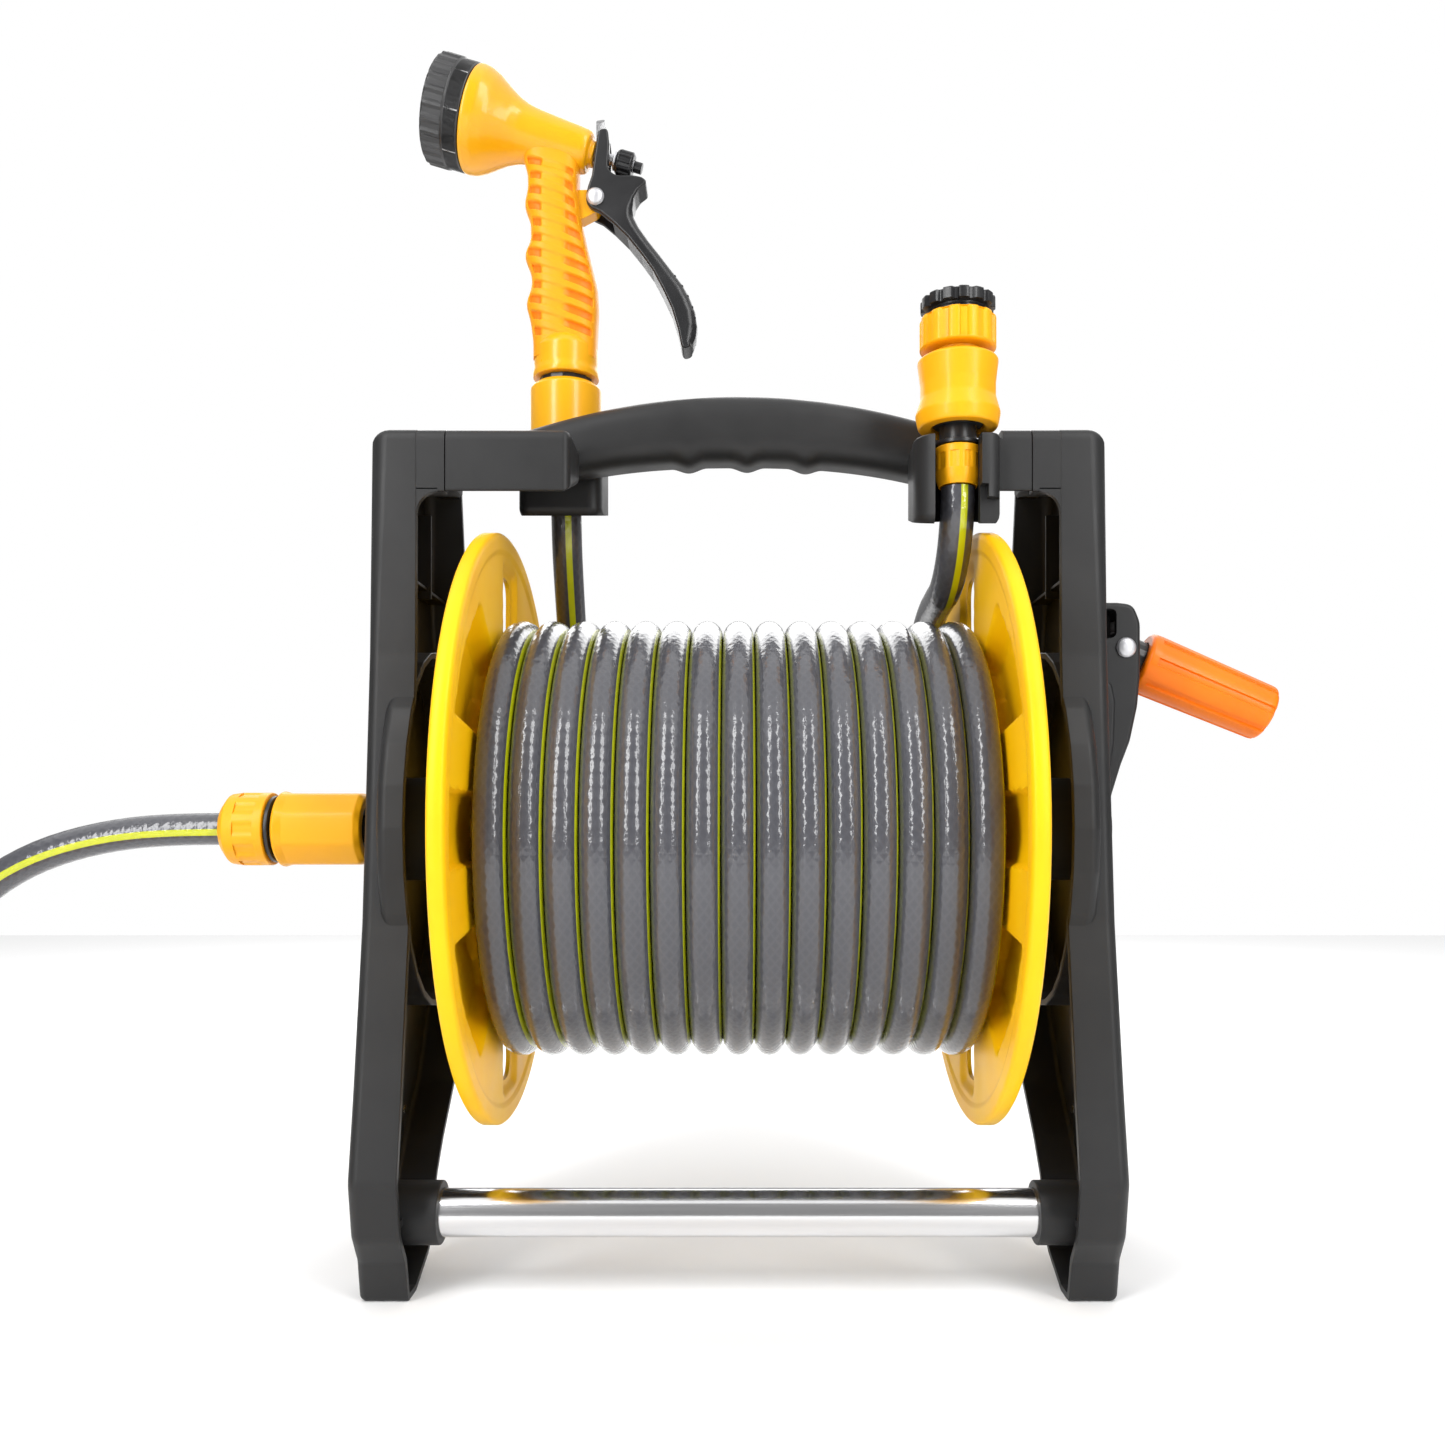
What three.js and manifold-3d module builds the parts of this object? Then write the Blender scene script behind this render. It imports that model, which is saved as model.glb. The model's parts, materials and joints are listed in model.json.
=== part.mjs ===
// Free-standing garden hose reel with a folding crank, spray gun, tap hose and supply hose.
// Millimetres, +Z up, +X towards the crank, +Y to the rear. Everything is laid out from the
// drum's axis and moved up at the end, so that the feet stand on Z = 0.
import * as THREE from 'three';
import { mergeVertices } from 'three/addons/utils/BufferGeometryUtils.js';
import Module from 'manifold-3d';

const wasm = await Module();
wasm.setup();

// ---- driving dimensions -------------------------------------------------------------------
const FLANGE_RADIUS = 135;
const FLANGE_INNER_X = 106; // half of the width that the hose is wound in
const FLANGE_WEB = 5;
const RIM_WIDTH = 8;
const RIM_DEPTH = 7;
const CORE_RADIUS = 58;
const WINDING_RADIUS = 100.2;
const HOSE_RADIUS = 7.5;
const HUB_HEIGHT = 200; // drum axis above the ground
const HUB_RADIUS = 14;
const FRAME_INNER_X = 139.5;
const FRAME_OUTER_X = 160.6;
const FRAME_TOP = 174;
const WALL = 3;
const JOINT_X = 127.2; // where the handle meets the side frames
const TUBE_RADIUS = 10.2;
const TUBE_Y = -47;
const TUBE_Z = -165;
const GAP = 0.3; // clearance between touching pieces
const SCREW_HOLE = 2.3;
const GUN_X = -86;
const GUN_Y = 38;
const TAP_X = 96;
const TAP_Y = -38;
const PIN_X = 175.7; // folding pin of the crank grip
const PIN_Z = 82.3;
const GRIP_DROOP = THREE.MathUtils.degToRad(22.8);
const SLEEVE_RADIUS = 17.6;
const CLIP_HALF = 20.5; // half the width of the clips that hold the hose ends
const CLIP_BORE = 10.3;
const CLIP_MOUTH = 9.4;
const OUTLET_X = 92; // where the water leaves the axis for the winding's first turn

// ---- colours ------------------------------------------------------------------------------
const BLACK = { color: 0x2e2e2f, roughness: 0.5, metalness: 0 };
const YELLOW = { color: 0xffb400, roughness: 0.4, metalness: 0 };
const ORANGE = { color: 0xf07418, roughness: 0.38, metalness: 0 };
const GUN_YELLOW = { color: 0xf2ab24, roughness: 0.42, metalness: 0 };
const HOSE_GREY = { color: 0x5c5d63, roughness: 0.3, metalness: 0 };
const STEEL = { color: 0xc8c8ca, roughness: 0.3, metalness: 1 };
const CHROME = { color: 0xe4e4e6, roughness: 0.08, metalness: 1 };
const RUBBER = { color: 0x151515, roughness: 0.7, metalness: 0 };
const NYLON = { color: 0xc9c7bf, roughness: 0.5, metalness: 0 };

// ---- solids -------------------------------------------------------------------------------
// A closed three.js geometry as a manifold solid with its faces pointing out.
function solid(geometry) {
  const bare = geometry.clone();
  bare.deleteAttribute('normal');
  bare.deleteAttribute('uv');
  const merged = mergeVertices(bare, 1e-4);
  const place = merged.attributes.position.array;
  const index = merged.index.array;
  const corners = [];
  let volume = 0;
  for (let i = 0; i < index.length; i += 3) {
    const [a, b, c] = [index[i], index[i + 1], index[i + 2]];
    if (a === b || b === c || a === c) continue;
    corners.push(a, b, c);
    const p = new THREE.Vector3().fromArray(place, 3 * a);
    const q = new THREE.Vector3().fromArray(place, 3 * b);
    const r = new THREE.Vector3().fromArray(place, 3 * c);
    volume += p.dot(q.cross(r));
  }
  if (volume < 0) corners.reverse();
  const mesh = new wasm.Mesh({
    numProp: 3,
    vertProperties: new Float32Array(place),
    triVerts: new Uint32Array(corners),
  });
  return new wasm.Manifold(mesh);
}

function toGeometry(body) {
  const mesh = body.getMesh();
  const geometry = new THREE.BufferGeometry();
  geometry.setAttribute('position', new THREE.BufferAttribute(mesh.vertProperties, 3));
  geometry.setIndex(new THREE.BufferAttribute(mesh.triVerts, 1));
  geometry.computeVertexNormals();
  return geometry;
}

function join(...bodies) {
  return bodies.reduce((sum, body) => sum.add(body));
}

function cut(body, ...tools) {
  return tools.reduce((rest, tool) => rest.subtract(tool), body);
}

// ---- shapes -------------------------------------------------------------------------------
function shapeOf(points) {
  return new THREE.Shape(points.map(([u, v]) => new THREE.Vector2(u, v)));
}

// Rounds every corner of a polygon; a point may carry its own radius as a third number.
function rounded(points, radius, steps = 2) {
  const out = [];
  points.forEach(([u, v, own], i) => {
    const here = new THREE.Vector2(u, v);
    const before = new THREE.Vector2(...points.at(i - 1).slice(0, 2)).sub(here);
    const after = new THREE.Vector2(...points[(i + 1) % points.length].slice(0, 2)).sub(here);
    const half = Math.acos(before.dot(after) / before.length() / after.length()) / 2;
    const wanted = (own ?? radius) / Math.tan(half);
    const reach = Math.min(wanted, 0.49 * before.length(), 0.49 * after.length());
    const start = here.clone().addScaledVector(before.normalize(), reach);
    const end = here.clone().addScaledVector(after.normalize(), reach);
    if (reach < 0.05) {
      out.push([u, v]);
      return;
    }
    const bend = new THREE.QuadraticBezierCurve(start, here, end);
    bend.getPoints(steps).forEach((p) => out.push([p.x, p.y]));
  });
  return out;
}

// Moves the sides of a polygon inwards by a distance, and tightens its corner radii to match.
function inset(points, distance) {
  const turn = Math.sign(THREE.ShapeUtils.area(shapeOf(points).getPoints()));
  return points.map(([u, v, own], i) => {
    const here = new THREE.Vector2(u, v);
    const last = new THREE.Vector2(...points.at(i - 1).slice(0, 2));
    const next = new THREE.Vector2(...points[(i + 1) % points.length].slice(0, 2));
    const before = here.clone().sub(last).normalize();
    const after = next.sub(here).normalize();
    const normal = new THREE.Vector2(-before.y - after.y, before.x + after.x).normalize();
    const lean = normal.dot(new THREE.Vector2(-before.y, before.x));
    here.addScaledVector(normal, (turn * distance) / Math.max(lean, 0.4));
    return [here.x, here.y, Math.max((own ?? distance + 1) - distance, 1)];
  });
}

// A slab of a (Y, Z) outline between two X positions.
function slabX(points, x0, x1) {
  const geometry = new THREE.ExtrudeGeometry(shapeOf(points), {
    depth: x1 - x0, bevelEnabled: false, curveSegments: 12,
  });
  const basis = new THREE.Matrix4().makeBasis(
    new THREE.Vector3(0, 1, 0), new THREE.Vector3(0, 0, 1), new THREE.Vector3(1, 0, 0),
  );
  geometry.applyMatrix4(basis).translate(x0, 0, 0);
  return solid(geometry);
}

// A slab of an (X, Z) outline between two Y positions.
function slabY(points, y0, y1) {
  const geometry = new THREE.ExtrudeGeometry(shapeOf(points), {
    depth: y1 - y0, bevelEnabled: false, curveSegments: 12,
  });
  geometry.rotateX(Math.PI / 2).translate(0, y1, 0);
  return solid(geometry);
}

function box(x0, x1, y0, y1, z0, z1) {
  const geometry = new THREE.BoxGeometry(x1 - x0, y1 - y0, z1 - z0);
  geometry.translate((x0 + x1) / 2, (y0 + y1) / 2, (z0 + z1) / 2);
  return solid(geometry);
}

// A turned solid: the profile holds [distance along the axis, radius] pairs.
function turned(profile, origin, direction, segments = 16) {
  const points = profile.map(([along, radius]) => new THREE.Vector2(radius, along));
  const geometry = new THREE.LatheGeometry(points, segments);
  const spin = new THREE.Quaternion().setFromUnitVectors(
    new THREE.Vector3(0, 1, 0), new THREE.Vector3(...direction).normalize(),
  );
  geometry.applyQuaternion(spin).translate(...origin);
  return solid(geometry);
}

function rod(radius, from, to, segments = 16) {
  const length = new THREE.Vector3(...from).distanceTo(new THREE.Vector3(...to));
  const direction = to.map((value, i) => value - from[i]);
  return turned([[0, 0], [0, radius], [length, radius], [length, 0]], from, direction, segments);
}

function ring(inner, outer, from, to, segments = 20) {
  const length = new THREE.Vector3(...from).distanceTo(new THREE.Vector3(...to));
  const direction = to.map((value, i) => value - from[i]);
  const profile = [[0, inner], [0, outer], [length, outer], [length, inner], [0, inner]];
  return turned(profile, from, direction, segments);
}

// A hose along points chosen by hand.
function tube(points, steps, radius = HOSE_RADIUS, sides = 8) {
  const path = new THREE.CatmullRomCurve3(
    points.map((p) => new THREE.Vector3(...p)), false, 'catmullrom', 0.5,
  );
  const section = new THREE.Shape();
  section.absarc(0, 0, radius, 0, 2 * Math.PI);
  section.autoClose = true;
  const circle = section.getPoints(sides / 2).slice(0, -1);
  const geometry = new THREE.ExtrudeGeometry(new THREE.Shape(circle), {
    steps, extrudePath: path, bevelEnabled: false,
  });
  return solid(geometry);
}

// ---- assembly -----------------------------------------------------------------------------
const reel = new THREE.Group();
const mirrorX = new THREE.Matrix4().makeScale(-1, 1, 1);

function add(name, body, look) {
  const mesh = new THREE.Mesh(toGeometry(body), new THREE.MeshStandardMaterial(look));
  mesh.name = name;
  reel.add(mesh);
}

function mirrored(body) {
  return solid(toGeometry(body).applyMatrix4(mirrorX));
}

// ---- side frames --------------------------------------------------------------------------
const FRAME_CORNERS = [
  [-44.5, FRAME_TOP, 4], [-45, 76, 40], [-56, -40, 60], [-69, -112, 30], [-76, -146, 16],
  [-71, -170, 12], [-62, -182, 6], [-57, -HUB_HEIGHT, 2], [-44, -HUB_HEIGHT, 4],
  [-20, -190, 10], [-6, -160, 16], [6, -146, 12], [28, -126, 20], [70, -62, 60],
  [82, 10, 60], [58, 105, 40], [51, 143, 20], [40, 163, 4], [44.5, FRAME_TOP, 3],
];
const BOSS = { y: 65, z: 83, x: 152 };
const PAD_DEPTH = 8; // stiffening pads above and below the boss, inside the outer wall
const TOP_PAD = rounded([[-19, 143, 5], [-38.5, 84, 3], [-18, 86], [3, 84, 3]], 2);
const LOW_PAD = rounded([[-50, -124, 5], [-57, -72, 3], [-44, -76], [-31, -80, 3]], 2);

function ellipse(radiusY, radiusZ, count = 24) {
  return Array.from({ length: count }, (_, i) => {
    const angle = (2 * Math.PI * i) / count;
    return [radiusY * Math.cos(angle), radiusZ * Math.sin(angle)];
  });
}

function sideFrame() {
  const shell = join(
    slabX(rounded(FRAME_CORNERS, 10), FRAME_INNER_X, FRAME_OUTER_X),
    slabX(ellipse(BOSS.y, BOSS.z), FRAME_INNER_X, BOSS.x),
  );
  const hollow = join(
    slabX(rounded(inset(FRAME_CORNERS, WALL), 6), FRAME_INNER_X - 1, FRAME_OUTER_X - WALL),
    slabX(ellipse(BOSS.y - WALL, BOSS.z - WALL), FRAME_INNER_X - 1, BOSS.x - WALL),
  );
  const back = FRAME_OUTER_X - WALL + 1;
  const topBlock = join(
    box(JOINT_X + GAP, back, -44.4, -8, 146, FRAME_TOP - 0.1),
    box(FRAME_INNER_X + 0.5, back, -9, 44.4, 166, FRAME_TOP - 0.1),
  );
  const bearing = rod(24, [128, 0, 0], [back, 0, 0], 20);
  const socket = rod(13.5, [JOINT_X, TUBE_Y, TUBE_Z], [back, TUBE_Y, TUBE_Z]);
  const web = box(140, back, TUBE_Y - 18, TUBE_Y + 30, TUBE_Z - 1.5, TUBE_Z + 1.5);
  const pads = [TOP_PAD, LOW_PAD].map((pad) => slabX(pad, FRAME_OUTER_X - PAD_DEPTH, back));
  const whole = join(cut(shell, hollow), topBlock, bearing, socket, web, ...pads);
  return cut(
    whole,
    rod(TUBE_RADIUS + GAP, [JOINT_X - 1, TUBE_Y, TUBE_Z], [150, TUBE_Y, TUBE_Z]),
    rod(18, [127, 0, 0], [FRAME_OUTER_X - WALL, 0, 0], 20),
    rod(9, [150, 0, 0], [FRAME_OUTER_X + 1, 0, 0], 16),
  );
}

const FOOT_CORNERS = [
  [-34, -124, 8], [12, -115, 12], [60, -160, 30], [80, -188, 8], [78, -HUB_HEIGHT, 3],
  [44, -HUB_HEIGHT, 3], [30, -186, 12], [-8, -166, 20], [-30, -146, 8],
];
const FOOT_SCREWS = [[-18, -135], [4, -132]];
const HANDLE_SCREWS = [[-29, 155.5], [-17, 159.5]];
const SCREW_SINK = 2.8; // how deep the heads of the handle screws sit in the side frames

function rearFoot() {
  const x0 = FRAME_OUTER_X + GAP;
  const plate = cut(
    slabX(rounded(FOOT_CORNERS, 6), x0, x0 + 10),
    slabX(rounded(inset(FOOT_CORNERS, WALL), 4), x0 + WALL, x0 + 11),
  );
  const bosses = FOOT_SCREWS.map(([y, z]) => rod(5.5, [x0, y, z], [x0 + 8, y, z], 8));
  const holes = FOOT_SCREWS.map(([y, z]) => rod(SCREW_HOLE, [x0 - 1, y, z], [x0 + 9, y, z], 8));
  return cut(join(plate, ...bosses), ...holes);
}

// A domed screw whose head stands on the plane at `from` and whose shank goes the other way.
function screw(from, outward, head = 4, shank = 2, length = 9) {
  const profile = [
    [-length, 0], [-length, shank], [0, shank], [0, head], [1.4, head], [2.4, 0.6 * head],
    [2.6, 0],
  ];
  return turned(profile, from, outward, 8);
}

function addFrames() {
  const frame = sideFrame();
  const foot = rearFoot();
  const screwPlane = FRAME_OUTER_X + GAP + 8 + GAP;
  const holes = FOOT_SCREWS.map(([y, z]) => (
    rod(SCREW_HOLE, [FRAME_OUTER_X - WALL - 0.5, y, z], [FRAME_OUTER_X + 1, y, z], 8)
  ));
  const handleHoles = HANDLE_SCREWS.map(([y, z]) => (
    rod(SCREW_HOLE, [JOINT_X, y, z], [FRAME_OUTER_X + 1, y, z], 8)
  ));
  const headSeats = HANDLE_SCREWS.map(([y, z]) => (
    rod(4.8, [FRAME_OUTER_X - SCREW_SINK, y, z], [FRAME_OUTER_X + 1, y, z], 12)
  ));
  const drilled = cut(frame, ...holes, ...handleHoles, ...headSeats);
  const bush = ring(HUB_RADIUS + GAP, 17.7, [128.5, 0, 0], [156, 0, 0], 20);
  add('right_side_frame', drilled, BLACK);
  add('left_side_frame', mirrored(drilled), BLACK);
  add('right_rear_foot', foot, BLACK);
  add('left_rear_foot', mirrored(foot), BLACK);
  add('right_hub_bush', bush, NYLON);
  add('left_hub_bush', mirrored(bush), NYLON);
  FOOT_SCREWS.forEach(([y, z], i) => {
    const fastener = screw([screwPlane, y, z], [1, 0, 0], 4, 2, 12);
    add(`right_foot_screw_${i + 1}`, fastener, STEEL);
    add(`left_foot_screw_${i + 1}`, mirrored(fastener), STEEL);
  });
  HANDLE_SCREWS.forEach(([y, z], i) => {
    const fastener = screw([FRAME_OUTER_X + GAP - SCREW_SINK, y, z], [1, 0, 0], 4, 2, 42);
    add(`right_handle_screw_${i + 1}`, fastener, STEEL);
    add(`left_handle_screw_${i + 1}`, mirrored(fastener), STEEL);
  });
  const end = 149.5;
  add('cross_tube', ring(9, TUBE_RADIUS, [-end, TUBE_Y, TUBE_Z], [end, TUBE_Y, TUBE_Z]), CHROME);
}

// ---- carry handle with its two hose-end holders ---------------------------------------------
const GRIP_TOP = 201;
const GRIP_BOTTOM = 170;
const GRIP_END_BOTTOM = 161;

function archOutline() {
  const top = [];
  const bottom = [];
  const count = 16;
  for (let i = 0; i <= count; i += 1) {
    const x = JOINT_X * (2 * (i / count) - 1);
    const far = Math.abs(x) / JOINT_X;
    top.push([x, GRIP_TOP - (GRIP_TOP - FRAME_TOP) * far ** 2]);
    bottom.push([x, Math.max(GRIP_BOTTOM - 23 * far ** 2.5, GRIP_END_BOTTOM)]);
  }
  return [...top, ...bottom.reverse()];
}

// A C-shaped clip around a vertical hose end; `face` is -1 for a mouth to the front.
function clip(x, y, face, sideOutline) {
  const shell = slabX(sideOutline, x - CLIP_HALF, x + CLIP_HALF);
  const bore = rod(CLIP_BORE, [x, y, 100], [x, y, 230], 24);
  const [near, far] = face < 0 ? [y - 17, y] : [y, y + 17];
  return cut(shell, bore, box(x - CLIP_MOUTH, x + CLIP_MOUTH, near, far, 100, 230));
}

function addHandle() {
  const reach = JOINT_X - 0.1;
  const arch = slabY(archOutline(), -13.5, 13.5);
  const rising = slabX([[-44, 146], [-44, FRAME_TOP], [-10, FRAME_TOP], [-10, 158]], -reach, reach);
  const leftArm = slabY(
    [[-reach, 146], [-reach, FRAME_TOP - 0.2], [-73, 172], [-73, 151]], -44, -10,
  ).intersect(rising);
  const rightArm = slabY(
    [[reach, 146], [reach, FRAME_TOP - 0.2], [115, 173.5], [115, 146]], -44, -10,
  ).intersect(rising);
  const handle = join(
    arch, leftArm, rightArm,
    clip(GUN_X, GUN_Y, 1, [[10, 150], [54, 161], [54, 184], [10, 184]]),
    clip(TAP_X, TAP_Y, -1, [[-54, 131], [-8, 143], [-8, 168], [-54, 168]]),
  );
  const screwHoles = HANDLE_SCREWS.flatMap(([y, z]) => [
    rod(SCREW_HOLE, [114, y, z], [128, y, z], 8), rod(SCREW_HOLE, [-114, y, z], [-128, y, z], 8),
  ]);
  const body = cut(
    handle,
    rod(17.5, [GUN_X, GUN_Y, 178], [GUN_X, GUN_Y, 230], 32),
    rod(CLIP_BORE, [GUN_X, GUN_Y, 150], [GUN_X, GUN_Y, 200], 24),
    rod(CLIP_BORE, [TAP_X, TAP_Y, 120], [TAP_X, TAP_Y, 180], 24),
    ...screwHoles,
  );
  add('carry_handle', body, BLACK);
}

// ---- inlet on the drum axis -----------------------------------------------------------------
function addInlet() {
  const profile = [
    [-134, 4], [-134, 6.4], [-138.4, 6.4], [-138.4, 5.6], [-141.6, 5.6], [-141.6, 6.4],
    [-160.9, 6.4], [-160.9, 12], [-164.5, 12], [-164.5, 7], [-196, 7], [-196, 4], [-134, 4],
  ];
  add('inlet_spigot', turned(profile, [0, 0, 0], [1, 0, 0], 14), BLACK);
  const seal = [[-141.3, 5.9], [-141.3, 8.3], [-138.7, 8.3], [-138.7, 5.9], [-141.3, 5.9]];
  add('inlet_o_ring', turned(seal, [0, 0, 0], [1, 0, 0], 12), RUBBER);
}

// ---- drum -----------------------------------------------------------------------------------
function polar(radius, degrees) {
  const angle = THREE.MathUtils.degToRad(degrees);
  return [radius * Math.cos(angle), radius * Math.sin(angle)];
}

// Corners of a pocket between two radii, centred on `middle` degrees.
function pocket(inner, outer, innerHalf, outerHalf, middle) {
  return [
    [...polar(inner, middle - innerHalf), 6], [...polar(outer, middle - outerHalf), 9],
    [...polar(outer * 1.05, middle), 30],
    [...polar(outer, middle + outerHalf), 9], [...polar(inner, middle + innerHalf), 6],
  ];
}

const DEEP_POCKETS = [45, 135, 225, 315];
const SLOTS = [90, 270];
const CUP_DEPTH = 9;

function flange(bore) {
  const web = FLANGE_INNER_X + FLANGE_WEB;
  const rim = FLANGE_INNER_X + RIM_DEPTH;
  const profile = [
    [154, bore], [154, HUB_RADIUS], [web + 14, HUB_RADIUS], [web, 22],
    [web, FLANGE_RADIUS - RIM_WIDTH], [rim, FLANGE_RADIUS - RIM_WIDTH], [rim, FLANGE_RADIUS],
    [FLANGE_INNER_X, FLANGE_RADIUS], [FLANGE_INNER_X, CORE_RADIUS - 4.5],
    [FLANGE_INNER_X - 5, CORE_RADIUS - 4.5], [FLANGE_INNER_X - 5, CORE_RADIUS - 8],
    [FLANGE_INNER_X, CORE_RADIUS - 8], [FLANGE_INNER_X, bore], [154, bore],
  ];
  let body = turned(profile, [0, 0, 0], [1, 0, 0], 40);
  DEEP_POCKETS.forEach((middle) => {
    const corners = pocket(70, 121, 16, 21, middle);
    const cup = slabX(rounded(inset(corners, -2.5), 8), web - 1, web + CUP_DEPTH);
    const space = slabX(rounded(corners, 6), FLANGE_INNER_X - 1, web + CUP_DEPTH - 2.5);
    body = cut(join(body, cup), space);
  });
  SLOTS.forEach((middle) => {
    const corners = pocket(72, 122, 10, 7, middle);
    body = cut(body, slabX(rounded(corners, 6), FLANGE_INNER_X - 1, web + 1));
  });
  return body;
}

function addDrum() {
  const open = flange(8.9);
  add('left_flange', mirrored(open), YELLOW);
  add('right_flange', flange(8), YELLOW);
  const wall = [[-1, 0, 0], [1, 0, 0]].map((side) => side.map((v) => v * (FLANGE_INNER_X - GAP)));
  const hole = rod(6.5 + GAP, [OUTLET_X, 45, 0], [OUTLET_X, CORE_RADIUS + 1, 0], 20);
  const core = ring(CORE_RADIUS - 4, CORE_RADIUS, wall[0], wall[1], 32);
  add('drum_core', cut(core, hole), YELLOW);
  const elbow = join(
    rod(8.6, [-FLANGE_INNER_X - 20, 0, 0], [OUTLET_X + 6.5, 0, 0], 20),
    rod(6.5, [OUTLET_X, 0, 0], [OUTLET_X, CORE_RADIUS - GAP, 0], 20),
  );
  const water = join(
    rod(4, [-FLANGE_INNER_X - 21, 0, 0], [OUTLET_X + 2, 0, 0], 8),
    rod(4, [OUTLET_X, 0, 0], [OUTLET_X, CORE_RADIUS + 1, 0], 8),
  );
  add('drum_outlet_elbow', cut(elbow, water), BLACK);
  const winding = FLANGE_INNER_X - GAP;
  add('hose_winding', ring(
    CORE_RADIUS + GAP, WINDING_RADIUS, [-winding, 0, 0], [winding, 0, 0], 36,
  ), HOSE_GREY);
}

// ---- crank ----------------------------------------------------------------------------------
const CRANK_X = 161.6;
const ARM_HALF = 18.6;
const ARM_FOOT_X = 170;
const GRIP_LIFT = 1.2; // the grip's axis runs above its folding pin
const GRIP_START = 16.2;
const GRIP_LENGTH = 60.7;

// A point on the grip's own axes: along the grip, and across it upwards.
function gripPoint(along, across) {
  const [c, s] = [Math.cos(GRIP_DROOP), Math.sin(GRIP_DROOP)];
  const lift = across + GRIP_LIFT;
  return [PIN_X + along * c + lift * s, 0, PIN_Z - along * s + lift * c];
}

function addCrank() {
  add('crank_axle', rod(7.7, [112, 0, 0], [166.4, 0, 0], 24), STEEL);
  const armSide = rounded([
    [CRANK_X, -17, 2], [169, -17, 3], [169.5, 16, 12], [176, 31, 16], [181.5, 52, 20],
    [182, 97, 8], [176, 104, 6], [CRANK_X, 104, 2],
  ], 3);
  const channel = slabY([
    [165.2, 22], [200, 22], [200, 110], [170, 110], [168, 98], [165.2, 94],
  ], -15.6, 15.6);
  const arm = join(
    cut(slabY(armSide, -ARM_HALF, ARM_HALF), channel),
    rod(ARM_HALF, [CRANK_X, 0, 0], [ARM_FOOT_X, 0, 0], 32),
  );
  const axleHole = rod(8, [CRANK_X - 1, 0, 0], [166.7, 0, 0], 24);
  const screwHole = rod(3.3, [166, 0, 0], [ARM_FOOT_X + 1, 0, 0], 8);
  const pinHole = rod(3.2, [PIN_X, -25, PIN_Z], [PIN_X, 25, PIN_Z], 16);
  add('crank_arm', cut(arm, axleHole, screwHole, pinHole), BLACK);
  const seat = ARM_FOOT_X + GAP;
  add('crank_screw', turned(
    [[166.8, 0], [166.8, 3], [seat, 3], [seat, 7], [seat + 1.6, 6.6], [seat + 2.6, 4],
      [seat + 2.6, 0]],
    [0, 0, 0], [1, 0, 0], 8,
  ), STEEL);
  add('grip_fold_pin', turned(
    [[-21, 0], [-20.6, 3.4], [-18.9, 4.8], [-18.9, 2.9], [18.9, 2.9], [18.9, 4.8],
      [20.6, 3.4], [21, 0]],
    [PIN_X, 0, PIN_Z], [0, 1, 0], 16,
  ), STEEL);

  const axis = [Math.cos(GRIP_DROOP), 0, -Math.sin(GRIP_DROOP)];
  const knuckle = rod(8.5, [PIN_X, -7.8, PIN_Z], [PIN_X, 7.8, PIN_Z], 24);
  const collar = rod(9, gripPoint(0, 0), gripPoint(GRIP_START - 0.7, 0), 20);
  const spindleEnd = GRIP_START + GRIP_LENGTH - 11;
  const spindle = rod(4.6, gripPoint(5, 0), gripPoint(spindleEnd, 0), 16);
  add('grip_spindle', cut(
    join(knuckle, collar, spindle),
    rod(3.2, [PIN_X, -25, PIN_Z], [PIN_X, 25, PIN_Z], 16),
  ), BLACK);
  const sleeve = [
    [0, 5], [0, 13.4], [1.5, 14.4], [GRIP_LENGTH - 0.6, 13], [GRIP_LENGTH, 12],
    [GRIP_LENGTH, 0], [GRIP_LENGTH - 9, 0], [GRIP_LENGTH - 9, 5], [0, 5],
  ];
  add('crank_grip', turned(sleeve, gripPoint(GRIP_START, 0), axis, 20), ORANGE);
}

// ---- hose connectors ------------------------------------------------------------------------
// A click-fit hose connector along `direction`, measured from its mouth towards the hose:
// release sleeve, black body and hose nut.
function addConnector(name, mouth, direction, size) {
  const { sleeve, neck, nut, nutRadius, look, sleeveEnd = SLEEVE_RADIUS } = size;
  const [s0, s1] = [0, sleeve];
  const nutStart = s1 + neck;
  const end = nutStart + nut;
  add(`${name}_release_sleeve`, turned([
    [s0, 11.4], [s0, SLEEVE_RADIUS - 1], [s0 + 1, SLEEVE_RADIUS],
    [s1 - 1, sleeveEnd], [s1, sleeveEnd - 1], [s1, 15.3], [s1 - 5, 15.3], [s1 - 5, 11.4],
    [s0, 11.4],
  ], mouth, direction, 18), look);
  add(`${name}_body`, turned([
    [s0 + 1.5, size.bore], [s0 + 1.5, 11], [s1 - 1.6, 11], [s1 - 1.2, size.neckRadius],
    [nutStart - GAP, size.neckRadius], [nutStart - GAP, size.bore], [s0 + 1.5, size.bore],
  ], mouth, direction, 14), BLACK);
  add(`${name}_hose_nut`, turned([
    [nutStart, 4], [nutStart, nutRadius - 1], [nutStart + 1, nutRadius],
    [end - 3, nutRadius], [end, nutRadius - 3], [end, 4], [nutStart, 4],
  ], mouth, direction, 14), look);
}

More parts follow.
